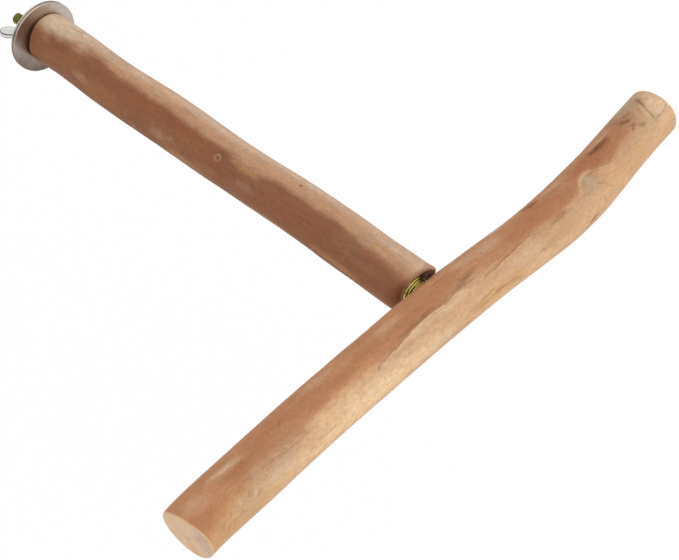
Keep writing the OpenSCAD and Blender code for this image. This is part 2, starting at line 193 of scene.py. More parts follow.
BAR_PATCHES = {
    "straw": (
        (88, 14, 44, 5.5, 0.85), (60, 8, 24, 4, 0.4), (118, 18, 22, 4, 0.45), (96, 32, 26, 3, 0.4),
        (240, 91, 5.5, 1.4, 0.35), (250, 64, 6, 2.2, 0.3, -20), (262, 119, 7, 0.8, 0.5, -6),
        (256.5, 10, 1.8, 0.9, 0.8), (295, 84, 3.2, 7, 0.35), (78, 34, 22, 6, 0.6),
    ),
    "cream": (
        (26, 105, 8.5, 1.7, 0.42, -6), (20, 38, 1.2, 0.8, 0.6, 60), (27.5, 33, 1.8, 0.7, 0.5, 50),
        (42, 30, 9, 3, 0.3), (132, 8, 16, 3, 0.35), (148, 54, 12, 1.6, 0.35), (288, 137, 8, 3.4, 0.6),
        (294, 118, 3.2, 4, 0.4), (176, 100, 1.8, 0.8, 0.35, 20), (127, 57, 18, 1.6, 0.3, 2), (104, 34, 26, 5, 0.2),
        (190, 134, 8, 1.6, 0.3), (140, 290, 44, 4, 0.3), (292, 74, 5, 8, 0.4), (178, 108, 9, 3, 0.25),
        (166, 112, 7, 2.6, 0.2), (226, 122, 8, 1.6, 0.25), (190, 40, 12, 3, 0.25), (6, 92, 6, 4, 0.2),
        (78, 116, 10, 2.4, 0.25), (118, 104, 8, 2.4, 0.25),
    ),
    "rust": (
        (4, 62, 8, 6, 0.25), (12, 46, 5, 1.6, 0.25, 40), (55, 94, 30, 6, 0.3), (40, 76, 12, 3, 0.22),
        (88, 82, 12, 3, 0.3), (130, 88, 26, 4, 0.25), (210, 122, 5, 1.5, 0.9), (208, 98, 20, 6, 0.42),
        (222, 84, 9, 3, 0.4), (247, 100, 18, 6.2, 0.56), (255, 84, 12, 4.6, 0.36), (271, 90, 9, 5, 0.34),
        (257, 106, 12, 3.4, 0.6), (278, 98, 6, 3.4, 0.6, -30), (273, 80, 3, 1.2, 0.4, 20),
        (277, 114, 7, 2.8, 0.62, -28), (246, 112, 9, 1.6, 0.35), (262, 20, 2, 0.8, 0.25, 40),
        (151, 108, 7, 1.4, 0.45), (210, 220, 34, 5, 0.3), (194, 86, 10, 3.2, 0.35), (152, 98, 8, 2.4, 0.3),
        (222, 108, 9, 2.4, 0.35), (236, 104, 7, 2.2, 0.4), (28, 84, 8, 3, 0.35), (68, 74, 9, 2.4, 0.3),
        (104, 92, 10, 2.6, 0.3),
    ),
    "ochre": (
        (8, 20, 14, 5, 0.55), (26, 6, 20, 3, 0.4), (16, 44, 10, 4, 0.4, 12), (168, 16, 18, 2.2, 0.85, 3),
        (157, 12, 6, 1.4, 0.8, 12), (180, 8, 9, 2, 0.8, -6), (174, 24, 6, 0.9, 0.5, 10), (262, 40, 22, 6, 0.25),
        (258, 10, 24, 3, 0.35), (250, 190, 20, 4, 0.4), (216, 34, 12, 3, 0.3), (52, 84, 8, 2.2, 0.3),
    ),
    "moss": (
        (27, 111, 7, 0.7, 0.6, -6), (20, 98, 6, 0.8, 0.35, -8), (22, 14, 3, 1.2, 0.35, 40),
        (36, 40, 6, 1.4, 0.3, 10), (237.5, 74, 4.2, 3, 1, -12), (238, 58, 7, 2.6, 0.55), (281, 98, 9, 5, 0.35),
        (285, 128, 10, 5, 0.8), (262, 128, 9, 1.4, 0.35), (284, 60, 9, 4, 0.35), (268, 58, 12, 3, 0.35),
        (266, 126, 14, 2.2, 0.35), (236, 2, 4, 1.6, 0.5), (90, 190, 26, 4, 0.35, 3), (156, 74, 9, 2.2, 0.4, 4),
        (200, 60, 10, 2.6, 0.25, 4), (222, 44, 10, 3, 0.35), (34, 62, 8, 2.4, 0.3, 8), (44, 44, 8, 3, 0.35),
        (20, 32, 9, 4, 0.3),
    ),
    "split": (
        (160, 10, 3, 0.6, 0.35, 20), (172, 14, 4, 0.6, 0.35, 8), (182, 6, 3, 0.6, 0.3, -10), (150, -6, 3, 1, 0.4),
        (286, 92, 2.4, 1, 0.35, 60), (160, 79, 6.5, 1.5, 0.6, 4), (152, 72, 4, 1, 0.4), (215, 62, 4, 1.6, 0.4, 12),
        (126, 71, 12, 1.2, 0.4, 2),
    ),
    "bark": (
        (29, 27, 1.5, 0.6, 0.35, 40), (25, 40, 1.4, 0.5, 0.3, 60), (14, 34, 1.6, 0.6, 0.3, 70),
        (9, 26, 1.3, 0.6, 0.3, 40), (19, 22, 1.2, 0.5, 0.3, 30), (11, 14, 1.8, 0.6, 0.3, 60),
        (209, 127, 4, 0.9, 0.5), (258.5, 109.5, 6.4, 1.8, 0.8, -5), (262, 105, 3.4, 1.3, 0.5, -22),
        (277.5, 99, 3, 1.1, 0.65, -34), (277, 76, 2.4, 0.9, 0.5, 24), (281.5, 66, 2, 1.3, 0.5, -10),
        (291, 112, 1.6, 2, 0.42), (290, 104, 1, 3, 0.3), (236, 76, 2, 1.8, 0.15), (281, 108, 3, 0.7, 0.35, -30),
        (199, 27, 0.8, 0.6, 0.6), (206, 14, 0.8, 0.5, 0.3), (226, 10, 1.2, 0.6, 0.3), (240, 18, 0.8, 0.9, 0.45),
        (230.5, -4, 3.4, 1.8, 0.8, 34), (227, -10, 3, 1.6, 0.6, 34), (54, 96, 2.6, 0.5, 0.3, 40),
        (150, 140, 9, 1.4, 0.3), (60, 236, 3.4, 2.2, 0.5, 14),
    ),
}

# Splits and the edges of old bark: half width, depth, then points as place and angle
STEM_SPLITS = (
    (0.1, 0.6, (14, 63), (20, 61), (25, 63)), (0.1, 0.5, (18, 68), (23, 67), (27, 70)),
    (0.1, 0.5, (22, 74), (28, 76)), (0.1, 0.4, (30, 66), (38, 67)), (0.1, 0.4, (60, 92), (66, 94)),
    (0.1, 0.5, (82, 86), (87, 92), (90, 92)), (0.1, 0.4, (104, 80), (112, 82)), (0.1, 0.4, (150, 74), (160, 76)),
    (0.1, 0.5, (228, 94), (232, 90), (238, 93)), (0.1, 0.4, (200, 80), (210, 82)), (0.1, 0.3, (40, 130), (46, 133)),
    (0.1, 0.3, (92, 150), (96, 154)), (0.1, 0.3, (150, 170), (156, 172)), (0.1, 0.3, (70, 140), (74, 146)),
    (0.25, 1, (40, 250), (90, 256), (150, 251)),
)
BAR_SPLITS = (
    (0.1, 0.8, (101, 50), (103, 55), (106, 57)), (0.1, 0.7, (105, 53), (109, 58), (113, 59.5)),
    (0.14, 0.7, (111, 60), (117, 62), (122, 64.5)), (0.16, 0.9, (120, 65.5), (127, 68), (134, 68)),
    (0.14, 0.8, (131, 67), (138, 68), (146, 66)), (0.12, 0.7, (143, 64), (150, 65.5), (156, 66)),
    (0.12, 0.7, (124, 71), (130, 72.5), (136, 72)), (0.12, 0.6, (134, 70.5), (141, 70.5), (147, 69)),
    (0.1, 0.7, (149, 68), (156, 69), (162, 68.5)), (0.1, 0.6, (153, 74), (158, 77), (163, 78.5)),
    (0.1, 0.9, (166, 54), (172, 56.5), (178, 60)), (0.12, 1, (176, 59.5), (183, 64), (189, 67)),
    (0.1, 0.8, (181, 61), (188, 64.5), (196, 67.5)), (0.1, 0.6, (170, 58.5), (175, 61)),
    (0.1, 0.7, (206, 53), (212, 57), (218, 58.5)), (0.1, 0.5, (210, 51), (216, 54), (222, 56)),
    (0.1, 0.5, (208, 60), (214, 62.5)), (0.12, 0.6, (39, 57), (44, 54), (48, 51)),
    (0.12, 0.5, (49, 50), (54, 48), (60, 49.5)), (0.12, 0.4, (26, 63), (32, 60), (38, 58)),
    (0.12, 0.8, (241, 58), (244, 44), (247, 28)), (0.32, 1, (290.6, 114), (289.6, 98), (288.4, 82)),
    (0.18, 1, (288.5, 84), (287.9, 66), (287.6, 51)), (0.1, 0.7, (287.8, 52), (292, 54), (296.5, 57)),
    (0.14, 0.7, (275, 90), (278.5, 79), (281, 66)), (0.12, 0.6, (272, 98), (277, 101), (280, 96)),
    (0.14, 0.8, (252, 112), (258, 115), (265, 109)), (0.12, 0.6, (254, 106), (260, 108), (266, 102)),
    (0.1, 0.5, (246, 80), (251, 73), (257, 70)), (0.1, 0.5, (62, 26), (68, 22), (73, 21)),
    (0.08, 0.5, (64, 20), (70, 18), (75, 19)), (0.12, 0.6, (152, 18), (160, 20), (168, 24)),
    (0.12, 0.6, (166, 14), (174, 16), (182, 12)), (0.26, 1, (70, 236), (130, 231), (180, 238)),
)

# Raised pale fibres beside them: half width, height, then points
STEM_FIBRES = (
    (0.25, 0.6, (12, 70), (19, 66), (24, 70)), (0.25, 0.4, (74, 84), (82, 88), (90, 86)),
)
BAR_FIBRES = (
    (0.16, 0.9, (104, 49), (109, 54), (114, 56.5)), (0.2, 1, (113, 57), (121, 60.5), (128, 63)),
    (0.22, 1, (126, 62), (134, 65), (141, 64)), (0.2, 0.8, (139, 62), (147, 62), (154, 61)),
    (0.14, 0.8, (168, 52), (175, 54.5), (182, 59)), (0.12, 0.6, (184, 61), (190, 64), (196, 65)),
    (0.12, 0.6, (208, 51), (215, 54), (221, 54.5)), (0.45, 0.8, (231, 70), (233, 78), (235, 86)),
    (0.5, 0.8, (234, 86), (239, 91), (243, 85)), (0.4, 0.4, (243, 86), (247, 76), (251, 66)),
    (0.2, 0.5, (17, 110), (25, 107), (33, 104)), (0.15, 0.5, (19, 108), (24, 105)),
    (0.12, 0.4, (8, 40), (12, 35), (15, 34)), (0.12, 0.4, (15, 28), (17, 36)), (0.12, 0.4, (22, 38), (25, 30)),
    (0.12, 0.4, (25, 40), (29, 30)), (0.12, 0.35, (11, 24), (14, 28), (16, 24)), (0.12, 0.35, (28, 22), (32, 27)),
    (0.14, 0.6, (160, 17), (170, 20), (178, 19)), (0.14, 0.5, (62, 24), (69, 20), (75, 19)),
)

# Knots: place, angle, radius, height of the ring over its dark middle, depth of colour
STEM_KNOTS = (
    (138.7, 129, 1.8, 0.16, 0.5), (118, 262, 3, 0.35, 0.8),
)
BAR_KNOTS = (
    (90, 102, 3, 0.08, 0.12), (62, 236, 3.4, 0.4, 0.8),
)

# Hollows and swellings of the skin: place, angle, half length, half width, height and, where there is one, tilt
STEM_BUMPS = (
    (57, 140, 14, 9, 0.16), (22, 66, 5, 2, -0.18, -20), (180.7, 78, 1.3, 1.1, -0.3), (48.6, 144, 1.4, 1, -0.14),
    (205, 196, 6, 3, 0.22), (126, 196, 7, 3, 0.2), (234, 90, 5, 3, 0.12),
)
BAR_BUMPS = (
    (237.5, 72, 5.5, 4.2, -0.5, -8), (238, 93, 6, 2.2, 0.22), (230.5, -8, 3.4, 3.4, -0.75, 30),
    (257.5, 108, 7, 1.6, -0.22, -5), (276.5, 100, 2.4, 1.6, -0.2, -30), (282, 65, 2.2, 1.5, -0.28),
    (160, 66, 26, 3, 0.18), (120, 60, 18, 2.6, 0.2), (27, 104, 8, 2, -0.14, -6), (24, 30, 6, 5, 0.2),
    (212, 60, 8, 3, 0.16),
)

# How a branch is read: its sections, the rays round each, and the degrees of its centre line, radius and waves
SECTIONS = 110
RAYS = np.radians(np.arange(0, 360, 7.5))
LINE_DEGREE, RADIUS_DEGREE, WAVE_DEGREE = 10, 16, 7
# Depth under the skin from which a point counts as a pocket
POCKET = 0.25 * MM
# Share of the radius at which a cut is measured
CUT_RAYS_AT = 0.76
# Lumps of the skin: share of the relief, then length and width in millimetres
LUMPS = ((0.55, 14, 7), (0.30, 6, 2.6), (0.15, 4, 1.1))
# Depth of a full split and height of a full fibre, and the distance past which a line has no effect, in millimetres
SPLIT_DEPTH = 0.22
FIBRE_HEIGHT = 0.14
LINE_REACH = 4.0
# Length and width in millimetres of the coarse and the fine lumps that fray the marks' edges
FRAYS = ((5, 2), (2.5, 1.2))
# Unevenness of the wear round an end, and how much less of it there is where the edge stayed sharp
WEAR_SPREAD = 0.35
SHARP_SHARE = 0.8
# Mean radius of both branches
BRANCH_R = 12.6 * MM
# Distance between the rings of a branch's skin, and how many points a ring has
RING_STEP = 0.55 * MM
RING_SIDES = 144
# Rings across a cut face, with both edges of it
FACE_RINGS = 19
# Distance from a cut at which the skin is whole
SOUND = 2 * MM
# Light rim of a cut end, partly a worn edge and partly a painted highlight: its depth under the skin, how deep the
# skin's colour wraps round it, and its strength
RIM = (0.25, 0.3, 1.0)
# Radius at which a hole, a point or a face is closed, wide and narrow
CLOSE_R = 0.3 * MM
TINY_R = 0.1 * MM
# Where the stem's front edge stayed sharp, and the radii between which its face rises to the lip
SHARP_ANGLE = math.radians(31)
LIP_FROM, LIP_TO = 8 * MM, BRANCH_R
# Second cut of the crossbar's end: its direction, its distance from the middle and its slope
SECOND_CUT = (math.radians(16), 5.8 * MM, 0.2)
# Inset and depth of the stem's back edge. It is slightly domed, so a dark gap shows between it and the washer
DOMED_EDGE = [(inset * MM, depth * MM) for inset, depth in
              ((3.6, 0), (2.5, 0.28), (1.6, 0.66), (0.9, 1.02), (0.45, 1.26), (0.16, 1.44), (0.03, 1.62), (0, 1.9))]

# Clearances in the wood, as the solids have them: round a bolt or the insert, round the flange and the free bolt,
# past the bolt's end, and round the lock nut
WOOD_FIT = 0.02 * MM
SIDE_GAP = 0.3 * MM
END_GAP = 4 * MM
SEAT_GAP = 0.7 * MM
# Length of the cone that ends a wood thread
POINT = 4 * MM
# Radius of a wing's round tip, and thickness and edge radius of a wing
TIP_R = 4.2 * MM
WING_T = 2.4 * MM
WING_EDGE = 0.35 * MM
# Share of the hub's foot radius at its top
HUB_TAPER = 0.815
# Offset of the pith from the middle of a branch
PITH = (0, 1.2 * MM, -0.8 * MM)
# Brightness of the weathered side right by the tan side
BY_LIMIT = 0.965

# Half the width of the floor
FLOOR_HALF = 6.0
# Lamps: name, place, width and setting of the power. They point at the middle of the perch
LAMPS = (("Key lamp", (1.15, 0.35, 0.45), 1.1, "key"), ("Top lamp", (0.15, -0.1, 1.5), 1.8, "top"))
LAMP_AIM = (0.15, 0, 0)
# Heights between which the dark card's foot and top fade, as the upward part of a direction
CARD_FOOT, CARD_TOP = (-0.06, -0.01), (0.30, 0.22)
# Camera: its place, the direction of the picture's right side, and where it looks
CAMERA_AT = (0.5058, -0.2916, 0.4522)
CAMERA_RIGHT = (0.7224, 0.6910, -0.0293)
CAMERA_AHEAD = (-0.4690, 0.4580, -0.7551)


# Reading a branch of the frame

def chebyshev(places, values, degree):
    return np.polynomial.Chebyshev.fit(places, values, degree)


def unit(vectors):
    return vectors / np.linalg.norm(vectors, axis=-1, keepdims=True)


class Branch:
    """A branch of the frame, found by rays: its bent centre line, the skin round it and its two cuts."""

    def __init__(self, node, along, side, features, settings, seed, skip=None):
        self.features, self.settings, self.seed = features, settings, seed
        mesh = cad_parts[node].data
        self.tree = BVHTree.FromPolygons([v.co for v in mesh.vertices], [p.vertices for p in mesh.polygons])
        self.along = "xyz".index(along)
        self.side = np.array(side, float)
        low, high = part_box(node)
        self.reach = 3 * (high.z - low.z)
        first, last = low[self.along], high[self.along]
        places = np.linspace(first + 3 * MM, last - 3 * MM, SECTIONS)
        # Both branches lie about z = 0, and the stem about y = 0
        straight = np.array((((low + high) / 2).x, 0, 0))
        clear = [p for p in places if skip is None or not skip[0] < p < skip[1]]
        self.line = [chebyshev(clear, values, LINE_DEGREE)
                     for values in np.array([self.middle(straight, p) for p in clear]).T]
        mean, *waves = np.array([self.terms_at(p) for p in places]).T
        self.skin_terms = [chebyshev(places, mean, RADIUS_DEGREE)]
        self.skin_terms += [chebyshev(places, values, WAVE_DEGREE) for values in waves]
        self.first_cut, self.last_cut = self.cut(first, 1), self.cut(last, -1)
        self.first, self.last = self.first_cut[0], self.last_cut[0]

    def radii_round(self, middle, e, f):
        """Distances from the middle to the skin, by rays from outside, with nan where a ray finds none."""
        found = []
        for a in RAYS:
            direction = e * math.cos(a) + f * math.sin(a)
            hit = self.tree.ray_cast(Vector(middle + direction * self.reach), Vector(-direction))
            found.append(self.reach - hit[3] if hit[0] is not None else np.nan)
        return np.array(found)

    def middle(self, straight, place):
        """Centre of area of the section square to the straight axis."""
        aim = straight.copy()
        aim[self.along] = place
        r = self.radii_round(aim, self.side, UP)
        moment = self.side * np.sum(r ** 3 * np.cos(RAYS)) + UP * np.sum(r ** 3 * np.sin(RAYS))
        return aim + moment / (np.sum(r ** 2) * 1.5)

    def terms_at(self, place):
        """Radius all round one section as a mean and three pairs of waves, with pockets left out."""
        centre, _, e, f = self.axes(place)
        r = self.radii_round(centre, e, f)
        waves = self.waves(RAYS)
        keep = np.isfinite(r)
        for _ in range(4):
            terms = np.linalg.lstsq(waves[keep], r[keep], rcond=None)[0]
            keep = np.isfinite(r) & (r - waves @ terms > -POCKET)
        return terms

    @staticmethod
    def waves(angles):
        pairs = [wave(n * angles) for n in (1, 2, 3) for wave in (np.cos, np.sin)]
        return np.stack([np.ones_like(angles)] + pairs, axis=-1)

    def centre(self, place):
        place = np.asarray(place, float)
        points = np.stack([line(place) for line in self.line], axis=-1)
        points[..., self.along] = place
        return points

    def axes(self, place):
        """Centre, direction, side direction and upward direction at a place."""
        step = 0.5 * MM
        t = unit(self.centre(place + step) - self.centre(place - step))
        e = unit(self.side - t * (t @ self.side)[..., None])
        f = UP - t * (t @ UP)[..., None]
        f = unit(f - e * np.sum(e * f, axis=-1, keepdims=True))
        return self.centre(place), t, e, f

    def radius(self, place, angle):
        """Radius of the bare skin."""
        parts = np.stack([term(place) for term in self.skin_terms], axis=-1)
        return np.sum(self.waves(angle) * parts, axis=-1)

    def skin(self, place, angle):
        """Radius of the finished skin, with its lumps and marks."""
        radius = self.radius(place, angle)
        straight = np.stack([place, radius * np.cos(angle), radius * np.sin(angle)], axis=-1).reshape(-1, 3)
        lumps = sum(share * noise_at(straight, (along * MM, wide * MM, wide * MM), self.seed + k)
                    for k, (share, along, wide) in enumerate(LUMPS))
        marks = self.features.height((place - self.first) / MM, np.degrees(angle), radius / MM)
        return radius + self.settings.relief * lumps.reshape(place.shape) + marks * MM

    def point(self, place, x, y):
        centre, _, e, f = self.axes(place)
        return centre + e * x[..., None] + f * y[..., None]

    def locate(self, points):
        """Place along the branch and local x and y of points near it."""
        place = points[..., self.along].copy()
        for _ in range(3):
            centre, _, e, f = self.axes(place)
            x = np.sum((points - centre) * e, axis=-1)
            y = np.sum((points - centre) * f, axis=-1)
            place = points[..., self.along] - e[..., self.along] * x - f[..., self.along] * y
        return place, x, y

    def cut(self, end, inwards):
        """A cut as place = a + b x + c y, from rays on a ring well inside its edge."""
        centre, t, e, f = self.axes(np.float64(end))
        rows, places = [], []
        for a in np.radians(np.arange(0, 360, 15)):
            r = CUT_RAYS_AT * self.radius(np.float64(end + inwards * SOUND), a)
            origin = centre - t * inwards * 20 * MM + e * r * math.cos(a) + f * r * math.sin(a)
            hit = self.tree.ray_cast(Vector(origin), Vector(t * inwards))[0]
            place, x, y = self.locate(np.array(hit)[None])
            rows.append((1, x[0], y[0]))
            places.append(place[0])
        return np.linalg.lstsq(np.array(rows), np.array(places), rcond=None)[0]


# Marks on the skin

def smooth_step(low, high, value):
    t = np.clip((value - low) / (high - low), 0, 1)
    return t * t * (3 - 2 * t)


def noise_at(points, size, seed):
    """Smooth noise from -1 to 1 at points, with lumps of the given sizes along and across."""
    shift = Vector((seed * 3.17, seed * 1.71, seed * 5.39))
    return np.array([noise.noise(Vector(p) + shift) for p in points / np.array(size)])


def round_skin(angle, at_angle, radius):
    """Distance round the skin from one angle to another, the short way."""
    return radius * np.radians((angle - at_angle + 180) % 360 - 180)


def local_offsets(place, angle, radius, at_place, at_angle, tilt=0):
    """Distances along and across a mark's own axes."""
    across = round_skin(angle, at_angle, radius)
    along = place - at_place
    c, s = math.cos(math.radians(tilt)), math.sin(math.radians(tilt))
    return along * c + across * s, across * c - along * s


def line_distance(place, angle, radius, points):
    """Distance in millimetres to a line through points on the skin."""
    nearest = np.full(place.shape, LINE_REACH)
    for (p0, a0), (p1, a1) in zip(points, points[1:]):
        x, y = place - p0, round_skin(angle, a0, radius)
        dx, dy = p1 - p0, BRANCH_R / MM * math.radians(a1 - a0)
        t = np.clip((x * dx + y * dy) / (dx * dx + dy * dy), 0, 1)
        nearest = np.minimum(nearest, np.hypot(x - dx * t, y - dy * t))
    return nearest


def line_relief(place, angle, radius, lines, size):
    """Height of raised fibres or depth of splits, in millimetres."""
    total = np.zeros_like(place)
    for half_width, depth, *points in lines:
        d = line_distance(place, angle, radius, points)
        total = np.maximum(total, size * depth * np.exp(-(d / (half_width + 0.25)) ** 2))
    return total


def line_paint(place, angle, radius, lines, ragged):
    """Strength of the nearest line's colour, from 0 to 1."""
    total = np.zeros_like(place)
    for half_width, depth, *points in lines:
        d = line_distance(place, angle, radius, points) + ragged
        total = np.maximum(total, depth * smooth_step(half_width + 0.42, 0.4 * half_width, d))
    return total


class Features:
    """The marks of one branch."""

    def __init__(self, tan_limit, tan_foot, patches, splits, fibres, knots, bumps):
        self.tan_limit = np.array(tan_limit, float)
        self.tan_foot = tan_foot
        self.patches, self.splits, self.fibres, self.knots, self.bumps = patches, splits, fibres, knots, bumps

    def height(self, place, angle, radius):
        """Raised and hollow marks in millimetres, from place and radius in millimetres and angle in degrees."""
        total = np.zeros_like(place)
        for at, turn, half_l, half_w, rise, *tilt in self.bumps:
            a, b = local_offsets(place, angle, radius, at, turn, *tilt)
            total += rise * np.exp(-(a / half_l) ** 2 - (b / half_w) ** 2)
        for at, turn, size, rise, _ in self.knots:
            a, b = local_offsets(place, angle, radius, at, turn)
            d = np.hypot(a, b) / size
            total += rise * (np.exp(-((d - 0.75) / 0.3) ** 2) - 0.9 * np.exp(-(d / 0.4) ** 2))
        total -= line_relief(place, angle, radius, self.splits, SPLIT_DEPTH)
        return total + line_relief(place, angle, radius, self.fibres, FIBRE_HEIGHT)


STEM_FEATURES = Features(STEM_TAN_LIMIT, STEM_TAN_FOOT, STEM_PATCHES, STEM_SPLITS, STEM_FIBRES, STEM_KNOTS,
                         STEM_BUMPS)
BAR_FEATURES = Features(BAR_TAN_LIMIT, BAR_TAN_FOOT, BAR_PATCHES, BAR_SPLITS, BAR_FIBRES, BAR_KNOTS, BAR_BUMPS)


# Meshes

def mesh_object(name, points, faces, smooth=True):
    mesh = bpy.data.meshes.new(name)
    mesh.from_pydata([tuple(p) for p in points], [], faces)
    mesh.update()
    if smooth:
        mesh.shade_smooth()
    obj = bpy.data.objects.new(name, mesh)
    bpy.context.scene.collection.objects.link(obj)
    return obj


def outwards(obj):
    """Merges doubles and turns every face of a closed shape outwards."""
    work = bmesh.new()
    work.from_mesh(obj.data)
    bmesh.ops.remove_doubles(work, verts=work.verts, dist=1e-7)
    bmesh.ops.recalc_face_normals(work, faces=work.faces)
    work.to_mesh(obj.data)
    work.free()
    obj.data.update()
    return obj


def loft(name, rings, closed=False):
    """A shape through rings of points. The last ring meets the first, or a fan closes each end."""
    rings = np.asarray(rings)
    count, sides = rings.shape[:2]
    points = list(rings.reshape(-1, 3))
    faces = []
    for k in range(count if closed else count - 1):
        a, b = k * sides, (k + 1) % count * sides
        faces += [(a + i, a + (i + 1) % sides, b + (i + 1) % sides, b + i) for i in range(sides)]
    if not closed:
        first, last, top = len(points), len(points) + 1, (count - 1) * sides
        points += [rings[0].mean(axis=0), rings[-1].mean(axis=0)]
        faces += [(first, (i + 1) % sides, i) for i in range(sides)]
        faces += [(last, top + i, top + (i + 1) % sides) for i in range(sides)]
    return outwards(mesh_object(name, points, faces))


def turned(name, outline, sides, closed=False):
    """A turned piece about the X axis from (place, radius) points; a closed outline makes a ring."""
    angles = np.linspace(0, 2 * math.pi, sides, endpoint=False)
    return loft(name, [[(x, r * math.cos(a), r * math.sin(a)) for a in angles] for x, r in outline], closed)


def rounded(corners, radii, steps=5):
    """Points of a closed outline with its corners rounded, and one beside each so that flats are shaded flat."""
    points = []
    for k, (corner, r) in enumerate(zip(corners, radii)):
        p = np.array(corner, float)
        if r <= 0:
            points.append(tuple(p))
            continue
        a = unit(np.array(corners[k - 1], float) - p)
        b = unit(np.array(corners[(k + 1) % len(corners)], float) - p)
        half = math.acos(np.clip(a @ b, -1, 1)) / 2
        reach = r / math.tan(half)
        centre = p + unit(a + b) * r / math.sin(half)
        start, end = p + a * reach - centre, p + b * reach - centre
        sweep = math.copysign(math.pi - 2 * half, start[0] * end[1] - start[1] * end[0])
        beside = reach + 0.2 * r
        points.append(tuple(p + a * beside))
        for i in range(steps + 1):
            c, s = math.cos(sweep * i / steps), math.sin(sweep * i / steps)
            points.append(tuple(centre + (start[0] * c - start[1] * s, start[0] * s + start[1] * c)))
        points.append(tuple(p + b * beside))
    return points


def ring_corners(low, high, hole):
    """Outline of a plain ring between two planes."""
    return [(low.x, hole), (high.x, hole), (high.x, high.y), (low.x, high.y)]


def applied(obj):
    """The object with its modifiers applied, as a plain mesh."""
    bpy.context.view_layer.update()
    graph = bpy.context.evaluated_depsgraph_get()
    mesh = bpy.data.meshes.new_from_object(obj.evaluated_get(graph))
    obj.modifiers.clear()
    obj.data = mesh
    return obj


def cut_away(obj, cutter):
    modifier = obj.modifiers.new("Cut", "BOOLEAN")
    modifier.operation = "DIFFERENCE"
    modifier.solver = "EXACT"
    modifier.object = cutter
    applied(obj)
    bpy.data.objects.remove(cutter)


def shade(obj, degrees):
    """Smooth shading, with edges sharp where they turn by more than an angle."""
    obj.data.shade_smooth()
    obj.data.set_sharp_from_angle(angle=math.radians(degrees))


def vertex_points(obj):
    points = np.zeros(len(obj.data.vertices) * 3, np.float32)
    obj.data.vertices.foreach_get("co", points)
    return points.reshape(-1, 3).astype(float)


def store(obj, key, values):
    """Stores a vertex attribute."""
    obj.data.attributes.new(key, "FLOAT", "POINT").data.foreach_set("value", values.astype(np.float32))


def paint(obj, key, value_at):
    """Stores an attribute worked out from each point's place along the X axis, distance from it and y, z."""
    x, y, z = vertex_points(obj).T
    store(obj, key, np.clip(value_at(x, np.hypot(y, z), y, z), 0, 1))


def finish_piece(obj, body, slot, material, *nodes):
    obj.data.materials.clear()
    obj.data.materials.append(material)
    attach(obj, body)
    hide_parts(*nodes)


def rings_of(node):
    """Places along the X axis and distances from it of a CAD node's points."""
    x, y, z = vertex_points(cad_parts[node]).T
    return x, np.hypot(y, z)


def node_radius(node, place):
    """Largest radius of a CAD node about the X axis in one plane."""
    x, rho = rings_of(node)
    return rho[np.abs(x - place) < 0.02 * MM].max()


def bore_radius(node):
    return rings_of(node)[1].min()


def flange_back():
    """Place where the insert's flange bears on the stem."""
    x, rho = rings_of("stem_insert")
    return x[rho > rho.max() - 0.1 * MM].min()


def farthest(node):
    """Distance and angle about the X axis of a CAD node's farthest point."""
    _, y, z = max(vertex_points(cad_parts[node]), key=lambda p: math.hypot(p[1], p[2]))
    return math.hypot(y, z), math.atan2(z, y)


# Branches

def facet_reach(x, y, facet):
    """How far local x, y lies past the start of a slanting second cut, in metres."""
    if facet is None:
        return np.zeros_like(x)
    turn, start, _ = facet
    return np.maximum(0, x * math.cos(turn) + y * math.sin(turn) - start)


def worn_edge(depth, inset):
    """A rounded edge as (inset, depth) points from the cut face to the skin."""
    turns = np.radians((0, 15, 30, 45, 60, 75, 90))
    return [(inset * (1 - math.sin(q)), depth * (1 - math.cos(q))) for q in turns]


def wear_share(angle, sharp):
    """Share of the wear at an angle, where the edge stayed sharp round one angle."""
    return 1 if sharp is None else 1 - SHARP_SHARE * np.maximum(0, np.cos(angle - sharp)) ** 6


class End:
    """One end of a branch: its cut, the way inwards, its worn edge, second cut and hole, and where it stayed sharp.

    A hole is its plane, the way out, the radius of the flat round it, and its depths and radii from that plane.
    """

    def __init__(self, cut, inwards, edge, facet=None, hole=None, sharp=None, lip=0):
        self.cut, self.inwards, self.edge, self.facet, self.hole = cut, inwards, edge, facet, hole
        self.sharp, self.lip = sharp, lip

    def lip_at(self, x, y):
        """How far the face stands out at local x, y where its edge stayed sharp, in metres."""
        if self.sharp is None:
            return 0
        rise = smooth_step(LIP_FROM, LIP_TO, np.hypot(x, y))
        return self.lip * rise * np.maximum(0, np.cos(np.arctan2(y, x) - self.sharp)) ** 2

    def place(self, x, y):
        """Place of the cut face at local x, y."""
        depth = self.facet[2] * facet_reach(x, y, self.facet) if self.facet else 0
        return self.cut[0] + self.cut[1] * x + self.cut[2] * y + self.inwards * (depth - self.lip_at(x, y))


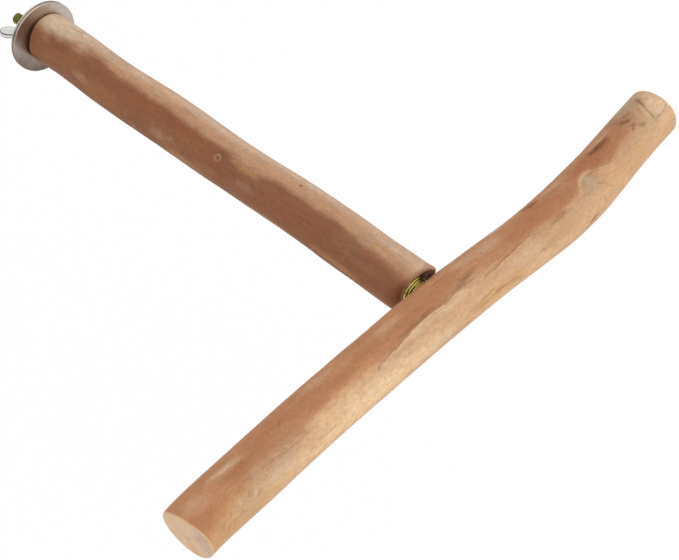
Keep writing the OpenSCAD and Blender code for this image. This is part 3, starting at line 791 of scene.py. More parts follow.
def build_branch(name, branch, ends):
    """Skin, worn edges, cut ends and holes of one branch as one closed mesh."""
    angle = np.linspace(0, 2 * math.pi, RING_SIDES, endpoint=False)
    c, s = np.cos(angle), np.sin(angle)
    wear = 1 + WEAR_SPREAD * np.array([noise.noise(Vector((math.cos(a) * 1.4, math.sin(a) * 1.4, branch.seed)))
                                       for a in angle])
    circle = np.stack([np.zeros(RING_SIDES), c, s], axis=-1)

    def edge_place(end, inset, depth):
        near = np.full(RING_SIDES, end.cut[0] + end.inwards * SOUND)
        worn = wear * wear_share(angle, end.sharp)
        r = branch.skin(near, angle) - inset * worn
        return end.place(r * c, r * s) + end.inwards * depth * worn, r * c, r * s

    def end_rings(end):
        """Rings from the bottom of the hole, or the middle of the face, out to the start of the skin."""
        found = []
        _, x, y = edge_place(end, *end.edge[0])
        x0, y0 = CLOSE_R * c, CLOSE_R * s
        if end.hole:
            plane, out, flat, steps = end.hole
            found = [circle * radius + (plane - out * depth, 0, 0) for depth, radius in reversed(steps)]
            found.append(circle * flat + (plane, 0, 0))
            _, x0, y0 = branch.locate(found[-1])
        for f in np.linspace(0, 1, FACE_RINGS)[1 if end.hole else 0:-1]:
            px, py = x0 + (x - x0) * f, y0 + (y - y0) * f
            found.append(branch.point(end.place(px, py), px, py))
        return found + [branch.point(*edge_place(end, inset, depth)) for inset, depth in end.edge]

    rings, last = (end_rings(end) for end in ends)
    start, stop = (edge_place(end, *end.edge[-1])[0] for end in ends)
    steps = int((branch.last - branch.first) / RING_STEP)
    for k in range(1, steps):
        place = start + (stop - start) * k / steps
        r = branch.skin(place, angle)
        rings.append(branch.point(place, r * c, r * s))
    return loft(name, rings + last[::-1])


def paint_branch(obj, branch, facet=None, rims=(RIM, RIM), sharp=None):
    """Attributes that the wood's material reads: straightened place, tan side, marks, cut wood, and worn rims with a
    painted highlight.
    """
    features = branch.features
    place, x, y = branch.locate(vertex_points(obj))
    rho, angle = np.hypot(x, y), np.arctan2(y, x)
    skin = branch.skin(np.clip(place, branch.first, branch.last), angle)
    mm, degrees, r_mm = (place - branch.first) / MM, np.degrees(angle), skin / MM
    below = (skin - rho) / MM
    straight = np.stack([place - branch.first, x, y], axis=-1)
    warp_a, warp_b = (noise_at(straight, (along * MM, wide * MM, wide * MM), branch.seed + k)
                      for k, (along, wide) in enumerate(FRAYS, 5))
    channels = {kind: np.zeros(len(place)) for kind in KINDS}

    def cover(kind, amount):
        channels[kind] = np.maximum(channels[kind], amount)

    for kind, patches in features.patches.items():
        for at, turn, half_l, half_w, strength, *tilt in patches:
            a, b = local_offsets(mm, degrees, r_mm, at, turn, *tilt)
            d = np.hypot(a / half_l, b / half_w) + 0.3 * warp_a + 0.14 * warp_b
            cover(kind, strength * smooth_step(1.4, 0.3, d))
    for at, turn, size, _, depth in features.knots:
        a, b = local_offsets(mm, degrees, r_mm, at, turn)
        d = np.hypot(a, b) / size + 0.12 * warp_b
        cover("bark", depth * smooth_step(0.5, 0.2, d))
        cover("cream", 0.6 * depth * np.exp(-((d - 0.8) / 0.25) ** 2))
    limit, softness = (np.interp(mm, features.tan_limit[:, 0], features.tan_limit[:, k]) for k in (1, 2))
    channels["inset"] = np.minimum(limit - degrees, degrees - features.tan_foot) * np.pi / 180 * r_mm
    channels["tan"] = channels["inset"] / softness
    for key, lines in (("torn", features.splits), ("fibre", features.fibres)):
        channels[key] = line_paint(mm, degrees + 3.2 * warp_a, r_mm, lines, 0.26 * warp_b)
    at_last = mm > mm.mean()
    rim_at, wrap, rim_share = (np.where(at_last, last, first) for first, last in zip(*rims))
    worn = np.where(at_last, wear_share(angle, sharp), 1)
    rim_at, wrap = rim_at * worn, wrap * worn
    channels["cut"] = smooth_step(wrap, wrap + 0.4, below + 0.25 * warp_a)
    # Light line on the rim: partly the worn edge, partly a painted highlight where the edge catches light
    channels["rim"] = rim_share * np.exp(-((below + 0.12 * warp_a - rim_at) / 0.34) ** 2) * (below > 0.02)
    channels["facet"] = smooth_step(0.0, 1.0, facet_reach(x, y, facet) / MM + 0.3 * warp_a) * (mm < 12)
    for key, values in channels.items():
        store(obj, key, values)
    vector = obj.data.attributes.new("straight", "FLOAT_VECTOR", "POINT")
    vector.data.foreach_set("vector", straight.astype(np.float32).ravel())


# Materials

class Nodes:
    """Short calls that add nodes to a tree, with each input given as a value or as another node's socket."""

    def __init__(self, tree):
        self.tree = tree

    def add(self, kind, inputs=None, **settings):
        node = self.tree.nodes.new(kind)
        for key, value in settings.items():
            setattr(node, key, value)
        for key, value in (inputs or {}).items():
            if isinstance(value, bpy.types.NodeSocket):
                self.tree.links.new(value, node.inputs[key])
            else:
                node.inputs[key].default_value = value
        return node

    def out(self, kind, inputs=None, **settings):
        """First output of a new node."""
        return self.add(kind, inputs, **settings).outputs[0]

    def math(self, operation, a, b=0.0, clamp=False):
        return self.out("ShaderNodeMath", {0: a, 1: b}, operation=operation, use_clamp=clamp)

    def product(self, first, *others):
        for other in others:
            first = self.math("MULTIPLY", first, other)
        return first

    def ramp(self, value, low, high, to_low=0.0, to_high=1.0, kind="SMOOTHSTEP"):
        return self.add("ShaderNodeMapRange", {"Value": value, "From Min": low, "From Max": high, "To Min": to_low,
                                               "To Max": to_high}, interpolation_type=kind).outputs["Result"]

    def line(self, value, low, high, to_low, to_high):
        return self.ramp(value, low, high, to_low, to_high, "LINEAR")

    def mix(self, factor, a, b, blend="MIX"):
        a, b = (v if isinstance(v, bpy.types.NodeSocket) else (*v, 1.0) for v in (a, b))
        return self.add("ShaderNodeMix", {0: factor, 6: a, 7: b}, data_type="RGBA", blend_type=blend).outputs[2]

    def shaded(self, base, value):
        """A colour times a grey value."""
        return self.mix(1.0, base, self.out("ShaderNodeCombineColor", {k: value for k in range(3)}), "MULTIPLY")

    def noise(self, vector, scale, detail=3.0, rough=0.55, name="Noise"):
        """Noise with its own scale along each axis."""
        placed = self.out("ShaderNodeMapping", {"Vector": vector, "Scale": scale})
        return self.out("ShaderNodeTexNoise", {"Vector": placed, "Scale": 1.0, "Detail": detail, "Roughness": rough},
                        label=name)

    def attribute(self, name, output="Fac"):
        return self.add("ShaderNodeAttribute", attribute_name=name).outputs[output]

    def surface(self, shader):
        self.add("ShaderNodeOutputMaterial", {"Surface": shader})


def new_material(name):
    material = bpy.data.materials.new(name)
    material.use_nodes = True
    material.node_tree.nodes.clear()
    return material, Nodes(material.node_tree)


def wood_material(name, settings, brown, tan, pale, end_colour, rim_strength):
    """Debarked wood: a weathered and a tan side, grain along the branch, marks by attribute, rings on the cuts."""
    material, n = new_material(name)
    at = n.attribute("straight", "Vector")
    cloud = n.noise(at, (52, 130, 130), 4, 0.62, "Clouds")
    drift = n.noise(at, (24, 75, 75), 3, 0.55, "Drift of hue")
    mottle = n.noise(at, (330, 520, 520), 3, 0.62, "Mottle")
    streak = n.noise(at, (38, 800, 800), 3, 0.55, "Streak")
    fibre = n.noise(at, (260, 2800, 2800), 2, 0.6, "Fibre")

    def mottled(key, low, high):
        """An attribute's strength, broken up by the mottle."""
        return n.math("MULTIPLY", n.attribute(key), n.line(mottle, 0.3, 0.7, low, high), True)

    limit = n.math("ADD", n.attribute("tan"), n.line(cloud, 0.25, 0.75, -0.8, 0.8))
    limit = n.math("ADD", limit, n.line(streak, 0.25, 0.75, -0.22, 0.22))
    base = n.mix(n.ramp(limit, -1.0, 1.0), brown, tan)
    inset = n.math("ADD", n.attribute("inset"), n.line(drift, 0.25, 0.75, -3.0, 3.0))
    # Paler towards the middle of the tan side: partly the wood's own tone, partly painted light on the side towards the
    # lamps
    base = n.mix(n.ramp(inset, 1.5, 12.5), base, pale)
    base = n.mix(n.line(drift, 0.52, 0.78, 0.0, 0.26), base, settings.ochre)
    base = n.mix(n.line(drift, 0.46, 0.22, 0.0, 0.22), base, settings.moss)
    base = n.shaded(base, n.product(
        n.line(cloud, 0.28, 0.72, 0.90, 1.08), n.line(mottle, 0.28, 0.72, 0.92, 1.07),
        n.line(streak, 0.28, 0.72, 0.96, 1.035), n.line(fibre, 0.25, 0.75, 0.92, 1.06),
        n.ramp(inset, -13.0, -3.0, 1.06, BY_LIMIT), n.ramp(inset, -3.0, 1.5, 1.0, 1 / BY_LIMIT)))
    for kind in KINDS:
        base = n.mix(mottled(kind, 0.6, 1.2), base, getattr(settings, kind))
    fleck = n.noise(at, (620, 1250, 1250), 2, 0.6, "Flecks")
    base = n.shaded(base, n.product(n.ramp(fleck, 0.57, 0.69, 1.0, 0.83), n.ramp(fleck, 0.43, 0.31, 1.0, 1.13)))
    base = n.mix(mottled("fibre", 0.2, 0.6), base, settings.straw)
    torn = mottled("torn", 0.4, 0.9)
    base = n.mix(torn, base, settings.split)

    axes = n.add("ShaderNodeSeparateXYZ", {0: at})
    across = n.out("ShaderNodeCombineXYZ", {1: axes.outputs[1], 2: axes.outputs[2]})
    pith = n.out("ShaderNodeVectorMath", {0: across, 1: PITH}, operation="SUBTRACT")
    from_pith = n.add("ShaderNodeVectorMath", {0: pith}, operation="LENGTH").outputs["Value"]
    wobble = n.line(n.noise(across, (180, 180, 180), 3), 0.2, 0.8, -1.6 * MM, 1.6 * MM)
    wave = n.math("FRACT", n.math("DIVIDE", n.math("ADD", from_pith, wobble), settings.ring_gap))
    late = n.product(n.ramp(wave, 0.35, 0.9), n.ramp(wave, 0.9, 1.0, 1.0, 0.0))
    fade = n.line(n.noise(across, (120, 260, 260), 2), 0.35, 0.7, 0.04, 0.30)
    # Painted shade: the second cut is coloured darker and greyer than the rest of the end
    end = n.mix(n.attribute("facet"), end_colour, settings.facet_in_shade)
    end = n.mix(n.product(late, fade), end, settings.end_ring)
    end = n.mix(n.ramp(from_pith, 0.4 * MM, 1.6 * MM, 0.30, 0.0), end, settings.split)
    sap = n.noise(across, (90, 150, 150), 3, 0.6, "Sap")
    end = n.mix(n.ramp(sap, 0.46, 0.74, 0.0, 0.5), end, settings.bar_pale)
    end = n.mix(n.ramp(sap, 0.46, 0.26, 0.0, 0.5), end, settings.straw)
    saw = n.noise(across, (300, 1500, 260), 2, 0.5, "Saw marks")
    end = n.shaded(end, n.line(saw, 0.25, 0.75, 0.95, 1.03))
    is_cut = n.attribute("cut")
    # Rims in straw: partly wear, partly a painted highlight
    base = n.mix(mottled("rim", 0.6 * rim_strength, rim_strength), n.mix(is_cut, base, end), settings.straw)

    skin_height = n.math("ADD", n.product(fibre, 0.35), n.product(mottle, 0.9))
    skin_height = n.math("ADD", skin_height, n.product(streak, 0.6))
    skin_height = n.math("SUBTRACT", skin_height, n.product(torn, 1.2))
    height = n.out("ShaderNodeMix", {0: is_cut, 2: skin_height, 3: n.product(saw, 1.2)}, data_type="FLOAT")
    bump = n.out("ShaderNodeBump", {"Strength": 0.8, "Distance": 2.2 * settings.grain, "Height": height})
    n.surface(n.out("ShaderNodeBsdfPrincipled", {
        "Base Color": base, "Roughness": n.line(cloud, 0.2, 0.8, 0.56, 0.72), "Specular IOR Level": 0.2,
        "Normal": bump}))
    return material


# Plated metals: second tone, roughness, height of the marks, roughness of scratches, and the setting of the colour
# painted where a washer reflects shade
PLATES = {
    "yellow_zinc": (srgb(180, 170, 94), 0.22, 0.02 * MM, 0.10, None),
    "bright_zinc": (srgb(186, 174, 165), 0.32, 0.008 * MM, 0.08, "zinc_in_reflected_shade"),
    "bright_nickel": (srgb(214, 213, 210), 0.16, 0.04 * MM, 0.08, None),
}


def plate_material(slot, metal):
    """Plated steel: slightly uneven colour, fine scratches and dark flecks, and painted shade and dark reflections
    taken from an attribute.
    """
    tones, rough, mark_height, scratches, dull = PLATES[slot]
    material, n = new_material(f"{slot}_plate")
    at = n.add("ShaderNodeTexCoord").outputs["Object"]
    cloud = n.noise(at, (420, 420, 420), 3, 0.6, "Plating cloud")
    fine = n.noise(at, (2600, 2600, 2600), 2, 0.5, "Tumbling marks")
    scratch = n.noise(at, (900, 6500, 900), 2, 0.6, "Scratches")
    base = n.mix(n.ramp(cloud, 0.3, 0.7), getattr(metal, slot), tones)
    base = n.mix(n.ramp(fine, 0.64, 0.82, 0.0, 0.14), base, metal.grime)
    if dull:
        # Painted reflection of shade, as the attribute gives it
        reflected_shade_share = n.math("ADD", n.attribute("dull"), n.line(cloud, 0.2, 0.8, -0.08, 0.08), True)
        base = n.mix(reflected_shade_share, base, getattr(metal, dull))
    # Painted shade and dark reflections, as the attribute gives them
    painted_darkening = n.math("MULTIPLY", n.attribute("grime"), n.line(cloud, 0.3, 0.7, 0.75, 1.0), True)
    base = n.mix(painted_darkening, base, metal.grime)
    roughness = n.math("ADD", n.line(cloud, 0.25, 0.75, rough - 0.05, rough + 0.07),
                       n.line(scratch, 0.5, 0.8, 0.0, scratches))
    bump = n.out("ShaderNodeBump", {"Strength": 0.5, "Distance": mark_height, "Height": n.math("ADD", fine, scratch)})
    n.surface(n.out("ShaderNodeBsdfPrincipled", {"Base Color": base, "Metallic": 1.0, "Roughness": roughness,
                                                 "Normal": bump}))
    return material


def plating(slot, metal):
    return bpy.data.materials.get(f"{slot}_plate") or plate_material(slot, metal)


def finish_metal(obj, body, slot, metal, node):
    finish_piece(obj, body, slot, plating(slot, metal), node)


# Screw threads

def thread_tree():
    """Adds a helical ridge to the incoming core: Geometry Nodes with the thread's sizes as inputs."""
    tree = bpy.data.node_groups.new("Screw thread", "GeometryNodeTree")
    socket = tree.interface.new_socket
    socket("Geometry", in_out="INPUT", socket_type="NodeSocketGeometry")
    for label, value in (("Turns", 10.0), ("Length", 0.01), ("Crest radius", 0.003), ("Depth", 0.0005),
                         ("Pitch", 0.001), ("Start", 0.0)):
        socket(label, in_out="INPUT", socket_type="NodeSocketFloat").default_value = value
    socket("Finish", in_out="INPUT", socket_type="NodeSocketMaterial")
    socket("Geometry", in_out="OUTPUT", socket_type="NodeSocketGeometry")
    n = Nodes(tree)
    given = n.add("NodeGroupInput").outputs
    root = n.math("SUBTRACT", given["Crest radius"], given["Depth"])
    helix = n.out("GeometryNodeCurveSpiral", {"Resolution": 32, "Rotations": given["Turns"], "Start Radius": root,
                                              "End Radius": root, "Height": given["Length"], "Reverse": True})
    upright = n.out("GeometryNodeSetCurveNormal", {"Curve": helix}, mode="Z_UP")
    along = n.out("GeometryNodeSplineParameter")
    run_in = n.math("DIVIDE", n.product(along, given["Turns"]), 0.9, True)
    run_out = n.math("MULTIPLY", n.math("SUBTRACT", 1.0, along), given["Turns"], True)
    swell = n.math("MAXIMUM", n.product(run_in, run_out), 0.12)
    swollen = n.out("GeometryNodeSetCurveRadius", {"Curve": upright, "Radius": swell})
    foot, crest, sunk = (n.product(given[key], share) for key, share in
                         (("Pitch", 0.46), ("Pitch", 0.09), ("Depth", -0.25)))
    corners = ((sunk, foot), (given["Depth"], crest), (given["Depth"], n.product(crest, -1.0)),
               (sunk, n.product(foot, -1.0)))
    section = n.out("GeometryNodeCurvePrimitiveQuadrilateral", {
        f"Point {k + 1}": n.out("ShaderNodeCombineXYZ", {0: x, 1: y}) for k, (x, y) in enumerate(corners)},
        mode="POINTS")
    ridge = n.out("GeometryNodeCurveToMesh", {"Curve": swollen, "Profile Curve": section, "Fill Caps": True})
    shift = n.out("ShaderNodeCombineXYZ", {0: given["Start"]})
    laid = n.out("GeometryNodeTransform", {"Geometry": ridge, "Translation": shift, "Rotation": (0, math.pi / 2, 0)})
    both = n.add("GeometryNodeJoinGeometry")
    for part in (given["Geometry"], laid):
        tree.links.new(part, both.inputs[0])
    real = n.out("GeometryNodeRealizeInstances", {0: both.outputs[0]})
    n.add("NodeGroupOutput", {0: n.out("GeometryNodeSetMaterial", {"Geometry": real, "Material": given["Finish"]})})
    return tree


def add_thread(obj, values):
    tree = bpy.data.node_groups.get("Screw thread") or thread_tree()
    modifier = obj.modifiers.new("Thread", "NODES")
    modifier.node_group = tree
    keys = {item.name: item.identifier for item in tree.interface.items_tree
            if item.item_type == "SOCKET" and item.in_out == "INPUT"}
    for label, value in values.items():
        modifier[keys[label]] = value
    applied(obj)


def hanger_bolt(node, thread_to, body, metal):
    """A bolt with a machine thread from its free end to one place, and a plain core and point in the wood."""
    low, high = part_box(node)
    start, wood_end, crest = low.x, high.x, high.y
    thread_from = start + 0.4 * MM
    root = crest - metal.thread_depth
    outline = [(start, 0.4 * MM), (start, root - 0.55 * MM), (start + 0.15 * MM, root - 0.35 * MM),
               (start + 0.6 * MM, root), (thread_to, root), (thread_to + 0.3 * MM, crest), (wood_end - POINT, crest),
               (wood_end - 0.2 * MM, CLOSE_R)]
    bolt = turned(f"{node}_threaded", outline, 64)
    add_thread(bolt, {"Turns": (thread_to - thread_from) / metal.pitch, "Length": thread_to - thread_from,
                      "Crest radius": crest, "Depth": metal.thread_depth, "Pitch": metal.pitch,
                      "Start": thread_from, "Finish": plating("yellow_zinc", metal)})
    shade(bolt, 32)
    # Painted shade: the whole thread is darkened, most of all in its roots
    paint(bolt, "grime", lambda x, rho, y, z: 0.4 + 0.6 * smooth_step(crest - 0.02 * MM, root + 0.2 * MM, rho))
    finish_metal(bolt, body, "yellow_zinc", metal, node)


# Operators

class PERCH_OT_stem(bpy.types.Operator):
    """Build the stem branch"""
    bl_idname = "perch.stem"
    bl_label = "Stem"

    def execute(self, context):
        wood = context.scene.perch_wood
        branch = Branch("stem", "x", (0, 1, 0), STEM_FEATURES, wood, 11)
        back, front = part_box("inner_washer")[1].x, flange_back()
        bolt_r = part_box("cage_bolt")[1].y
        bolt_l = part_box("cage_bolt")[1].x - back
        insert_low, insert_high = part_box("stem_insert")
        insert_r = node_radius("stem_insert", insert_low.x)
        insert_l = front - insert_low.x
        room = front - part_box("crossbar_bolt")[0].x + END_GAP
        back_hole = (back, -1, bolt_r + 1.2 * MM,
                     [(0, bolt_r + WOOD_FIT), (bolt_l - POINT, bolt_r + WOOD_FIT), (bolt_l, CLOSE_R)])
        front_hole = (front, 1, insert_high.y + SIDE_GAP,
                      [(0, insert_r + WOOD_FIT), (insert_l, insert_r + WOOD_FIT), (insert_l, bolt_r + SIDE_GAP),
                       (room, bolt_r + SIDE_GAP), (room, CLOSE_R)])
        ends = (End(branch.first_cut, 1, DOMED_EDGE, hole=back_hole),
                End(branch.last_cut, -1, worn_edge(wood.front_edge, wood.front_wrap), hole=front_hole,
                    sharp=SHARP_ANGLE, lip=wood.front_lip))
        obj = build_branch("stem_branch", branch, ends)
        wrap = wood.front_wrap / MM + 0.4
        paint_branch(obj, branch, rims=((0.2, 2.2, 1.0), (wrap - 0.1, wrap, 0.5)), sharp=SHARP_ANGLE)
        material = wood_material("stem_wood_bare", wood, wood.stem_brown, wood.stem_tan, wood.stem_pale,
                                 wood.stem_end_shade, 0.9)
        finish_piece(obj, "stem_body", "stem_wood", material, "stem")
        return {"FINISHED"}


class PERCH_OT_crossbar(bpy.types.Operator):
    """Build the crossbar branch"""
    bl_idname = "perch.crossbar"
    bl_label = "Crossbar"

    def execute(self, context):
        wood = context.scene.perch_wood
        nut_low, nut_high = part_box("lock_nut")
        branch = Branch("crossbar", "y", (1, 0, 0), BAR_FEATURES, wood, 41,
                        skip=(nut_low.y - 2 * SEAT_GAP, nut_high.y + 2 * SEAT_GAP))
        edge = worn_edge(wood.edge, wood.edge)
        ends = (End(branch.first_cut, 1, edge, facet=SECOND_CUT), End(branch.last_cut, -1, edge))
        obj = build_branch("crossbar_branch", branch, ends)
        bolt_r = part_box("crossbar_bolt")[1].y
        bolt_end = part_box("crossbar_bolt")[1].x
        seat_r = node_radius("lock_nut", nut_high.x) + SEAT_GAP
        outside = nut_low.x - BRANCH_R
        cut_away(obj, turned("seat", [(outside, CLOSE_R), (outside, seat_r), (nut_high.x, seat_r),
                                      (nut_high.x, bolt_r + WOOD_FIT), (bolt_end - POINT, bolt_r + WOOD_FIT),
                                      (bolt_end, TINY_R)], 96))
        paint_branch(obj, branch, SECOND_CUT)
        shade(obj, 50)
        material = wood_material("crossbar_wood_bare", wood, wood.bar_brown, wood.bar_tan, wood.bar_pale,
                                 wood.end_grain, 1.0)
        finish_piece(obj, "crossbar_body", "crossbar_wood", material, "crossbar")
        return {"FINISHED"}


class PERCH_OT_washers(bpy.types.Operator):
    """Build the two clamp washers"""
    bl_idname = "perch.washers"
    bl_label = "Clamp washers"

    def execute(self, context):
        metal = context.scene.perch_metal
        r = metal.round_over
        mating = 1.6 * r
        for node, body, outer in (("inner_washer", "stem_body", (r, mating)),
                                  ("outer_washer", "clamp_washer", (mating, r))):
            low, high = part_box(node)
            rim = high.y
            corners = ring_corners(low, high, bore_radius(node))
            obj = turned(f"{node}_plate", rounded(corners, (0.6 * r, 0.6 * r, *outer), 8), 160, closed=True)
            # Painted shade in the crease where the two washers' rims meet
            paint(obj, "grime", lambda x, rho, y, z: smooth_step(0.42 * MM, 0.2 * MM, np.abs(x)) * (rho > rim - mating))
            # Painted reflection of shade: darker towards the bottom and the -y side of each washer
            paint(obj, "dull", lambda x, rho, y, z: 0.85 * smooth_step(-0.15, 0.8, (-0.4 * y - 0.92 * z) / rim)
                  + 0.15 * smooth_step(0.6, 1.0, -z / rim))
            finish_metal(obj, body, "bright_zinc", metal, node)
        return {"FINISHED"}


class PERCH_OT_wing_nut(bpy.types.Operator):
    """Build the wing nut"""
    bl_idname = "perch.wing_nut"
    bl_label = "Wing nut"

    def execute(self, context):
        metal = context.scene.perch_metal
        low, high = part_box("wing_nut")
        base, height = high.x, high.x - low.x
        span, turn = farthest("wing_nut")
        bore = bore_radius("wing_nut")
        base_r = node_radius("wing_nut", base)
        top_r = HUB_TAPER * base_r
        hub_h = height / 2
        hub = turned("hub", rounded([(0, TINY_R), (0, base_r), (hub_h, top_r), (hub_h, TINY_R)],
                                    (0, 0.5 * MM, 1.0 * MM, 0), 6), 96)
        bpy.ops.object.select_all(action="DESELECT")
        hub.select_set(True)
        for side in (1, -1):
            tip = Vector((height - TIP_R, side * (span - TIP_R), 0))
            root = Vector((0.37 * hub_h + 0.4 * MM, side * (bore + 0.16 * hub_h), 0))
            root_r = 0.36 * hub_h
            wing_slab(f"wing_{side}", tip, root, root_r).select_set(True)
        context.view_layer.objects.active = hub
        bpy.ops.object.join()
        remesh = hub.modifiers.new("Blend", "REMESH")
        remesh.mode = "VOXEL"
        remesh.voxel_size = metal.nut_round
        soften = hub.modifiers.new("Soften", "SMOOTH")
        soften.factor = 0.5
        soften.iterations = 3
        applied(hub)
        hub.data.transform(Matrix.Rotation(turn, 4, "X") @ Matrix.Scale(-1, 4, (1, 0, 0)))
        hub.data.transform(Matrix.Translation((base, 0, 0)))
        outwards(hub)
        above, below, sink = base + 2 * MM, base - height - 2 * MM, 0.5 * MM
        wide, play = bore + sink, 0.02 * MM
        cut_away(hub, turned("bore", [(above, TINY_R), (above, wide), (base + play, wide), (base - sink, bore),
                                      (base - hub_h + sink, bore), (base - hub_h - play, wide), (below, wide),
                                      (below, TINY_R)], 64))
        hub.name = "wing_nut_cast"
        shade(hub, 40)
        # Height of the painted dark reflection line along the wings' edges
        reflected_line_at = WING_T / 2 - 0.3 * MM
        c, s = math.cos(turn), math.sin(turn)

        def painted_darkening(x, rho, y, z):
            """Darkening in the bore, and a painted dark reflection line along the wings' edges."""
            along, across = np.abs(y * c + z * s), np.abs(z * c - y * s)
            inset = TIP_R - np.hypot(base - x - height + TIP_R, along - span + TIP_R)
            edge = smooth_step(0.55 * MM, 0.35 * MM, inset) * (along > span - 2 * TIP_R)
            line = edge * smooth_step(0.42 * MM, 0.14 * MM, np.abs(across - reflected_line_at))
            return np.maximum(line, 0.8 * smooth_step(bore + 0.3 * MM, bore + 0.05 * MM, rho))

        paint(hub, "grime", painted_darkening)
        finish_metal(hub, "clamp_nut", "bright_nickel", metal, "wing_nut")
        return {"FINISHED"}


def wing_slab(name, tip, root, root_r):
    """A wing: the outline round the circles of its tip and its root, with rounded edges."""
    across = (tip - root).normalized()
    aside = Vector((-across.y, across.x, 0))
    lean = math.asin((TIP_R - root_r) / (tip - root).length)
    outline = [(tip, TIP_R, -math.pi / 2 - lean + (math.pi + 2 * lean) * i / 24) for i in range(25)]
    outline += [(root, root_r, math.pi / 2 + lean + (math.pi - 2 * lean) * i / 12) for i in range(13)]
    rings = []
    for side, degrees in [(1, q) for q in (90, 60, 30, 0)] + [(-1, q) for q in (0, -30, -60, -90)]:
        q = math.radians(degrees)
        inset = WING_EDGE * (1 - math.cos(q))
        rise = (WING_T / 2 - WING_EDGE) * side + WING_EDGE * math.sin(q)
        rings.append([tuple(c + (across * math.cos(a) + aside * math.sin(a)) * (r - inset) + Vector((0, 0, rise)))
                      for c, r, a in outline])
    return loft(name, rings)


class PERCH_OT_bolts(bpy.types.Operator):
    """Build the two hanger bolts"""
    bl_idname = "perch.bolts"
    bl_label = "Hanger bolts"

    def execute(self, context):
        metal = context.scene.perch_metal
        hanger_bolt("cage_bolt", 1 * MM, "stem_body", metal)
        hanger_bolt("crossbar_bolt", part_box("lock_nut")[1].x, "crossbar_body", metal)
        return {"FINISHED"}


class PERCH_OT_joint(bpy.types.Operator):
    """Build the threaded insert, the small washer and the lock nut of the joint"""
    bl_idname = "perch.joint"
    bl_label = "Joint hardware"

    def execute(self, context):
        metal = context.scene.perch_metal
        low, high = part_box("stem_insert")
        flange_r, front = high.y, flange_back()
        body_r = node_radius("stem_insert", low.x)
        bore = bore_radius("stem_insert")
        corners = [(low.x, bore), (high.x, bore), (high.x, flange_r), (front, flange_r), (front, body_r),
                   (low.x, body_r)]
        insert = turned("stem_insert_flanged", rounded(corners, [r * MM for r in (0.2, 0.4, 0.35, 0.1, 0, 0.6)]),
                        96, closed=True)
        corners = ring_corners(*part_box("joint_washer"), bore_radius("joint_washer"))
        washer = turned("joint_washer_plate", rounded(corners, [r * MM for r in (0.12, 0.12, 0.22, 0.22)]), 96,
                        closed=True)
        nut = hexagon_nut("lock_nut_chamfered", "lock_nut")
        for obj, body, node in ((insert, "stem_body", "stem_insert"), (washer, "joint_washer_body", "joint_washer"),
                                (nut, "crossbar_body", "lock_nut")):
            # Painted shade and reflection: darker towards +y, where the crossbar shades the joint and its dark wood is
            # reflected
            paint(obj, "grime", lambda x, rho, y, z: 0.6 * smooth_step(0.0, 0.8, y / flange_r))
            finish_metal(obj, body, "yellow_zinc", metal, node)
        return {"FINISHED"}


def hexagon_nut(name, node):
    """A hexagon nut whose corners are turned off at thirty degrees, with a countersunk bore."""
    low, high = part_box(node)
    corner_r, turn = farthest(node)
    bore = bore_radius(node)
    flat_r = corner_r * math.cos(math.pi / 6)
    face_r = flat_r - 0.15 * MM
    sink = 0.4 * MM
    angles = np.radians(np.arange(0, 360, 5))
    wall = flat_r / np.cos((angles + math.pi / 6) % (math.pi / 3) - math.pi / 6)
    fall = (wall - face_r) * math.tan(math.radians(30))

    def ring(place, radius):
        place, radius = np.broadcast_to(place, angles.shape), np.broadcast_to(radius, angles.shape)
        return np.stack([place, radius * np.cos(angles + turn), radius * np.sin(angles + turn)], axis=-1)

    half = [(sink, bore), (0, bore + sink), (0, face_r), (fall, wall)]
    rings = [ring(low.x + depth, r) for depth, r in half] + [ring(high.x - depth, r) for depth, r in reversed(half)]
    obj = loft(name, rings, closed=True)
    obj.data.set_sharp_from_angle(angle=math.radians(28))
    return obj


def light_path(n):
    """The light path's outputs, and a value of 1 on camera, glossy and transmission rays, which see plain white."""
    path = n.add("ShaderNodeLightPath").outputs
    bent = n.math("MAXIMUM", path["Is Glossy Ray"], path["Is Transmission Ray"])
    return path, n.math("MAXIMUM", path["Is Camera Ray"], bent)


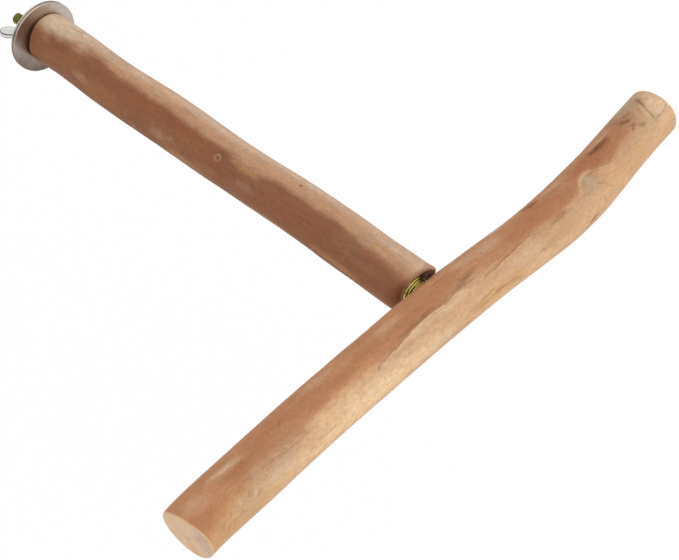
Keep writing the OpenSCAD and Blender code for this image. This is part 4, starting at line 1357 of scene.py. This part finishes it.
class PERCH_OT_stage(bpy.types.Operator):
    """Set up the floor, the surround, the lamps and the camera"""
    bl_idname = "perch.stage"
    bl_label = "Stage"

    def execute(self, context):
        stage = context.scene.perch_stage
        self.floor(stage)
        self.surround(context.scene, stage)
        for name, place, size, setting in LAMPS:
            self.lamp(name, place, size, getattr(stage, setting))
        self.camera(context.scene, stage)
        context.scene.view_settings.view_transform = "Standard"
        return {"FINISHED"}

    def floor(self, stage):
        half, z = FLOOR_HALF, -stage.floor_drop
        obj = mesh_object("floor", [(-half, -half, z), (half, -half, z), (half, half, z), (-half, half, z)],
                          [(0, 1, 2, 3)], smooth=False)
        material, n = new_material("white_floor")
        seen = light_path(n)[1]
        paint = n.out("ShaderNodeBsdfDiffuse", {"Color": (0.93, 0.93, 0.93, 1)})
        white = n.out("ShaderNodeEmission", {"Color": (1, 1, 1, 1), "Strength": 1.0})
        mixed = n.out("ShaderNodeMixShader", {0: n.product(seen, 0.95), 1: paint, 2: white})
        below = n.add("ShaderNodeNewGeometry").outputs["Backfacing"]
        clear = n.out("ShaderNodeBsdfTransparent")
        n.surface(n.out("ShaderNodeMixShader", {0: below, 1: mixed, 2: clear}))
        obj.data.materials.append(material)

    def surround(self, scene, stage):
        """White all round, with a dark card at the horizon that only reflections see."""
        world = bpy.data.worlds.new("Surround")
        scene.world = world
        world.use_nodes = True
        world.node_tree.nodes.clear()
        n = Nodes(world.node_tree)
        path, seen = light_path(n)
        height = n.add("ShaderNodeSeparateXYZ", {0: n.out("ShaderNodeTexCoord")}).outputs[2]
        card = n.product(n.ramp(height, *CARD_FOOT), n.ramp(height, *CARD_TOP), path["Is Glossy Ray"])
        strength = n.product(n.line(seen, 0, 1, stage.sky, 1.0), n.line(card, 0, 1, 1.0, stage.card))
        background = n.out("ShaderNodeBackground", {"Color": (1, 1, 1, 1), "Strength": strength})
        n.add("ShaderNodeOutputWorld", {0: background})

    def lamp(self, name, place, size, power):
        data = bpy.data.lights.new(name, "AREA")
        data.shape = "SQUARE"
        data.size = size
        data.energy = power
        obj = bpy.data.objects.new(name, data)
        obj.location = place
        obj.rotation_euler = (Vector(LAMP_AIM) - Vector(place)).to_track_quat("-Z", "Y").to_euler()
        bpy.context.scene.collection.objects.link(obj)

    def camera(self, scene, stage):
        """The photograph's view: over the crossbar's left end, down on to the stem."""
        data = bpy.data.cameras.new("Camera")
        data.sensor_width = 36
        data.lens = stage.focal
        data.clip_start = 0.02
        obj = bpy.data.objects.new("Camera", data)
        right = Vector(CAMERA_RIGHT).normalized()
        ahead = Vector(CAMERA_AHEAD)
        ahead = (ahead - right * ahead.dot(right)).normalized()
        turn = Matrix((right, right.cross(ahead), -ahead)).transposed()
        obj.matrix_world = Matrix.Translation(CAMERA_AT) @ turn.to_4x4()
        scene.collection.objects.link(obj)
        scene.camera = obj


class PERCH_PT_panel(bpy.types.Panel):
    """Steps that build the perch"""
    bl_label = "Bird perch"
    bl_idname = "PERCH_PT_panel"
    bl_space_type = "VIEW_3D"
    bl_region_type = "UI"
    bl_category = "Perch"

    def draw(self, context):
        for step in STEPS:
            self.layout.operator(step.bl_idname)
        for name in SETTINGS:
            box = self.layout.box()
            group = getattr(context.scene, name)
            for key in group.__annotations__:
                box.prop(group, key)


SETTINGS = {"perch_wood": PerchWoodSettings, "perch_metal": PerchMetalSettings, "perch_stage": PerchStageSettings}
STEPS = (PERCH_OT_stage, PERCH_OT_stem, PERCH_OT_crossbar, PERCH_OT_washers, PERCH_OT_wing_nut, PERCH_OT_bolts,
         PERCH_OT_joint)


def register():
    for kind in (*SETTINGS.values(), *STEPS, PERCH_PT_panel):
        bpy.utils.register_class(kind)
    for name, kind in SETTINGS.items():
        setattr(bpy.types.Scene, name, PointerProperty(type=kind))


def unregister():
    for name in SETTINGS:
        delattr(bpy.types.Scene, name)
    for kind in (PERCH_PT_panel, *reversed(STEPS), *reversed(SETTINGS.values())):
        bpy.utils.unregister_class(kind)


def main():
    register()
    for step in STEPS:
        getattr(bpy.ops.perch, step.bl_idname.split(".")[1])()


if __name__ == "__main__":
    main()
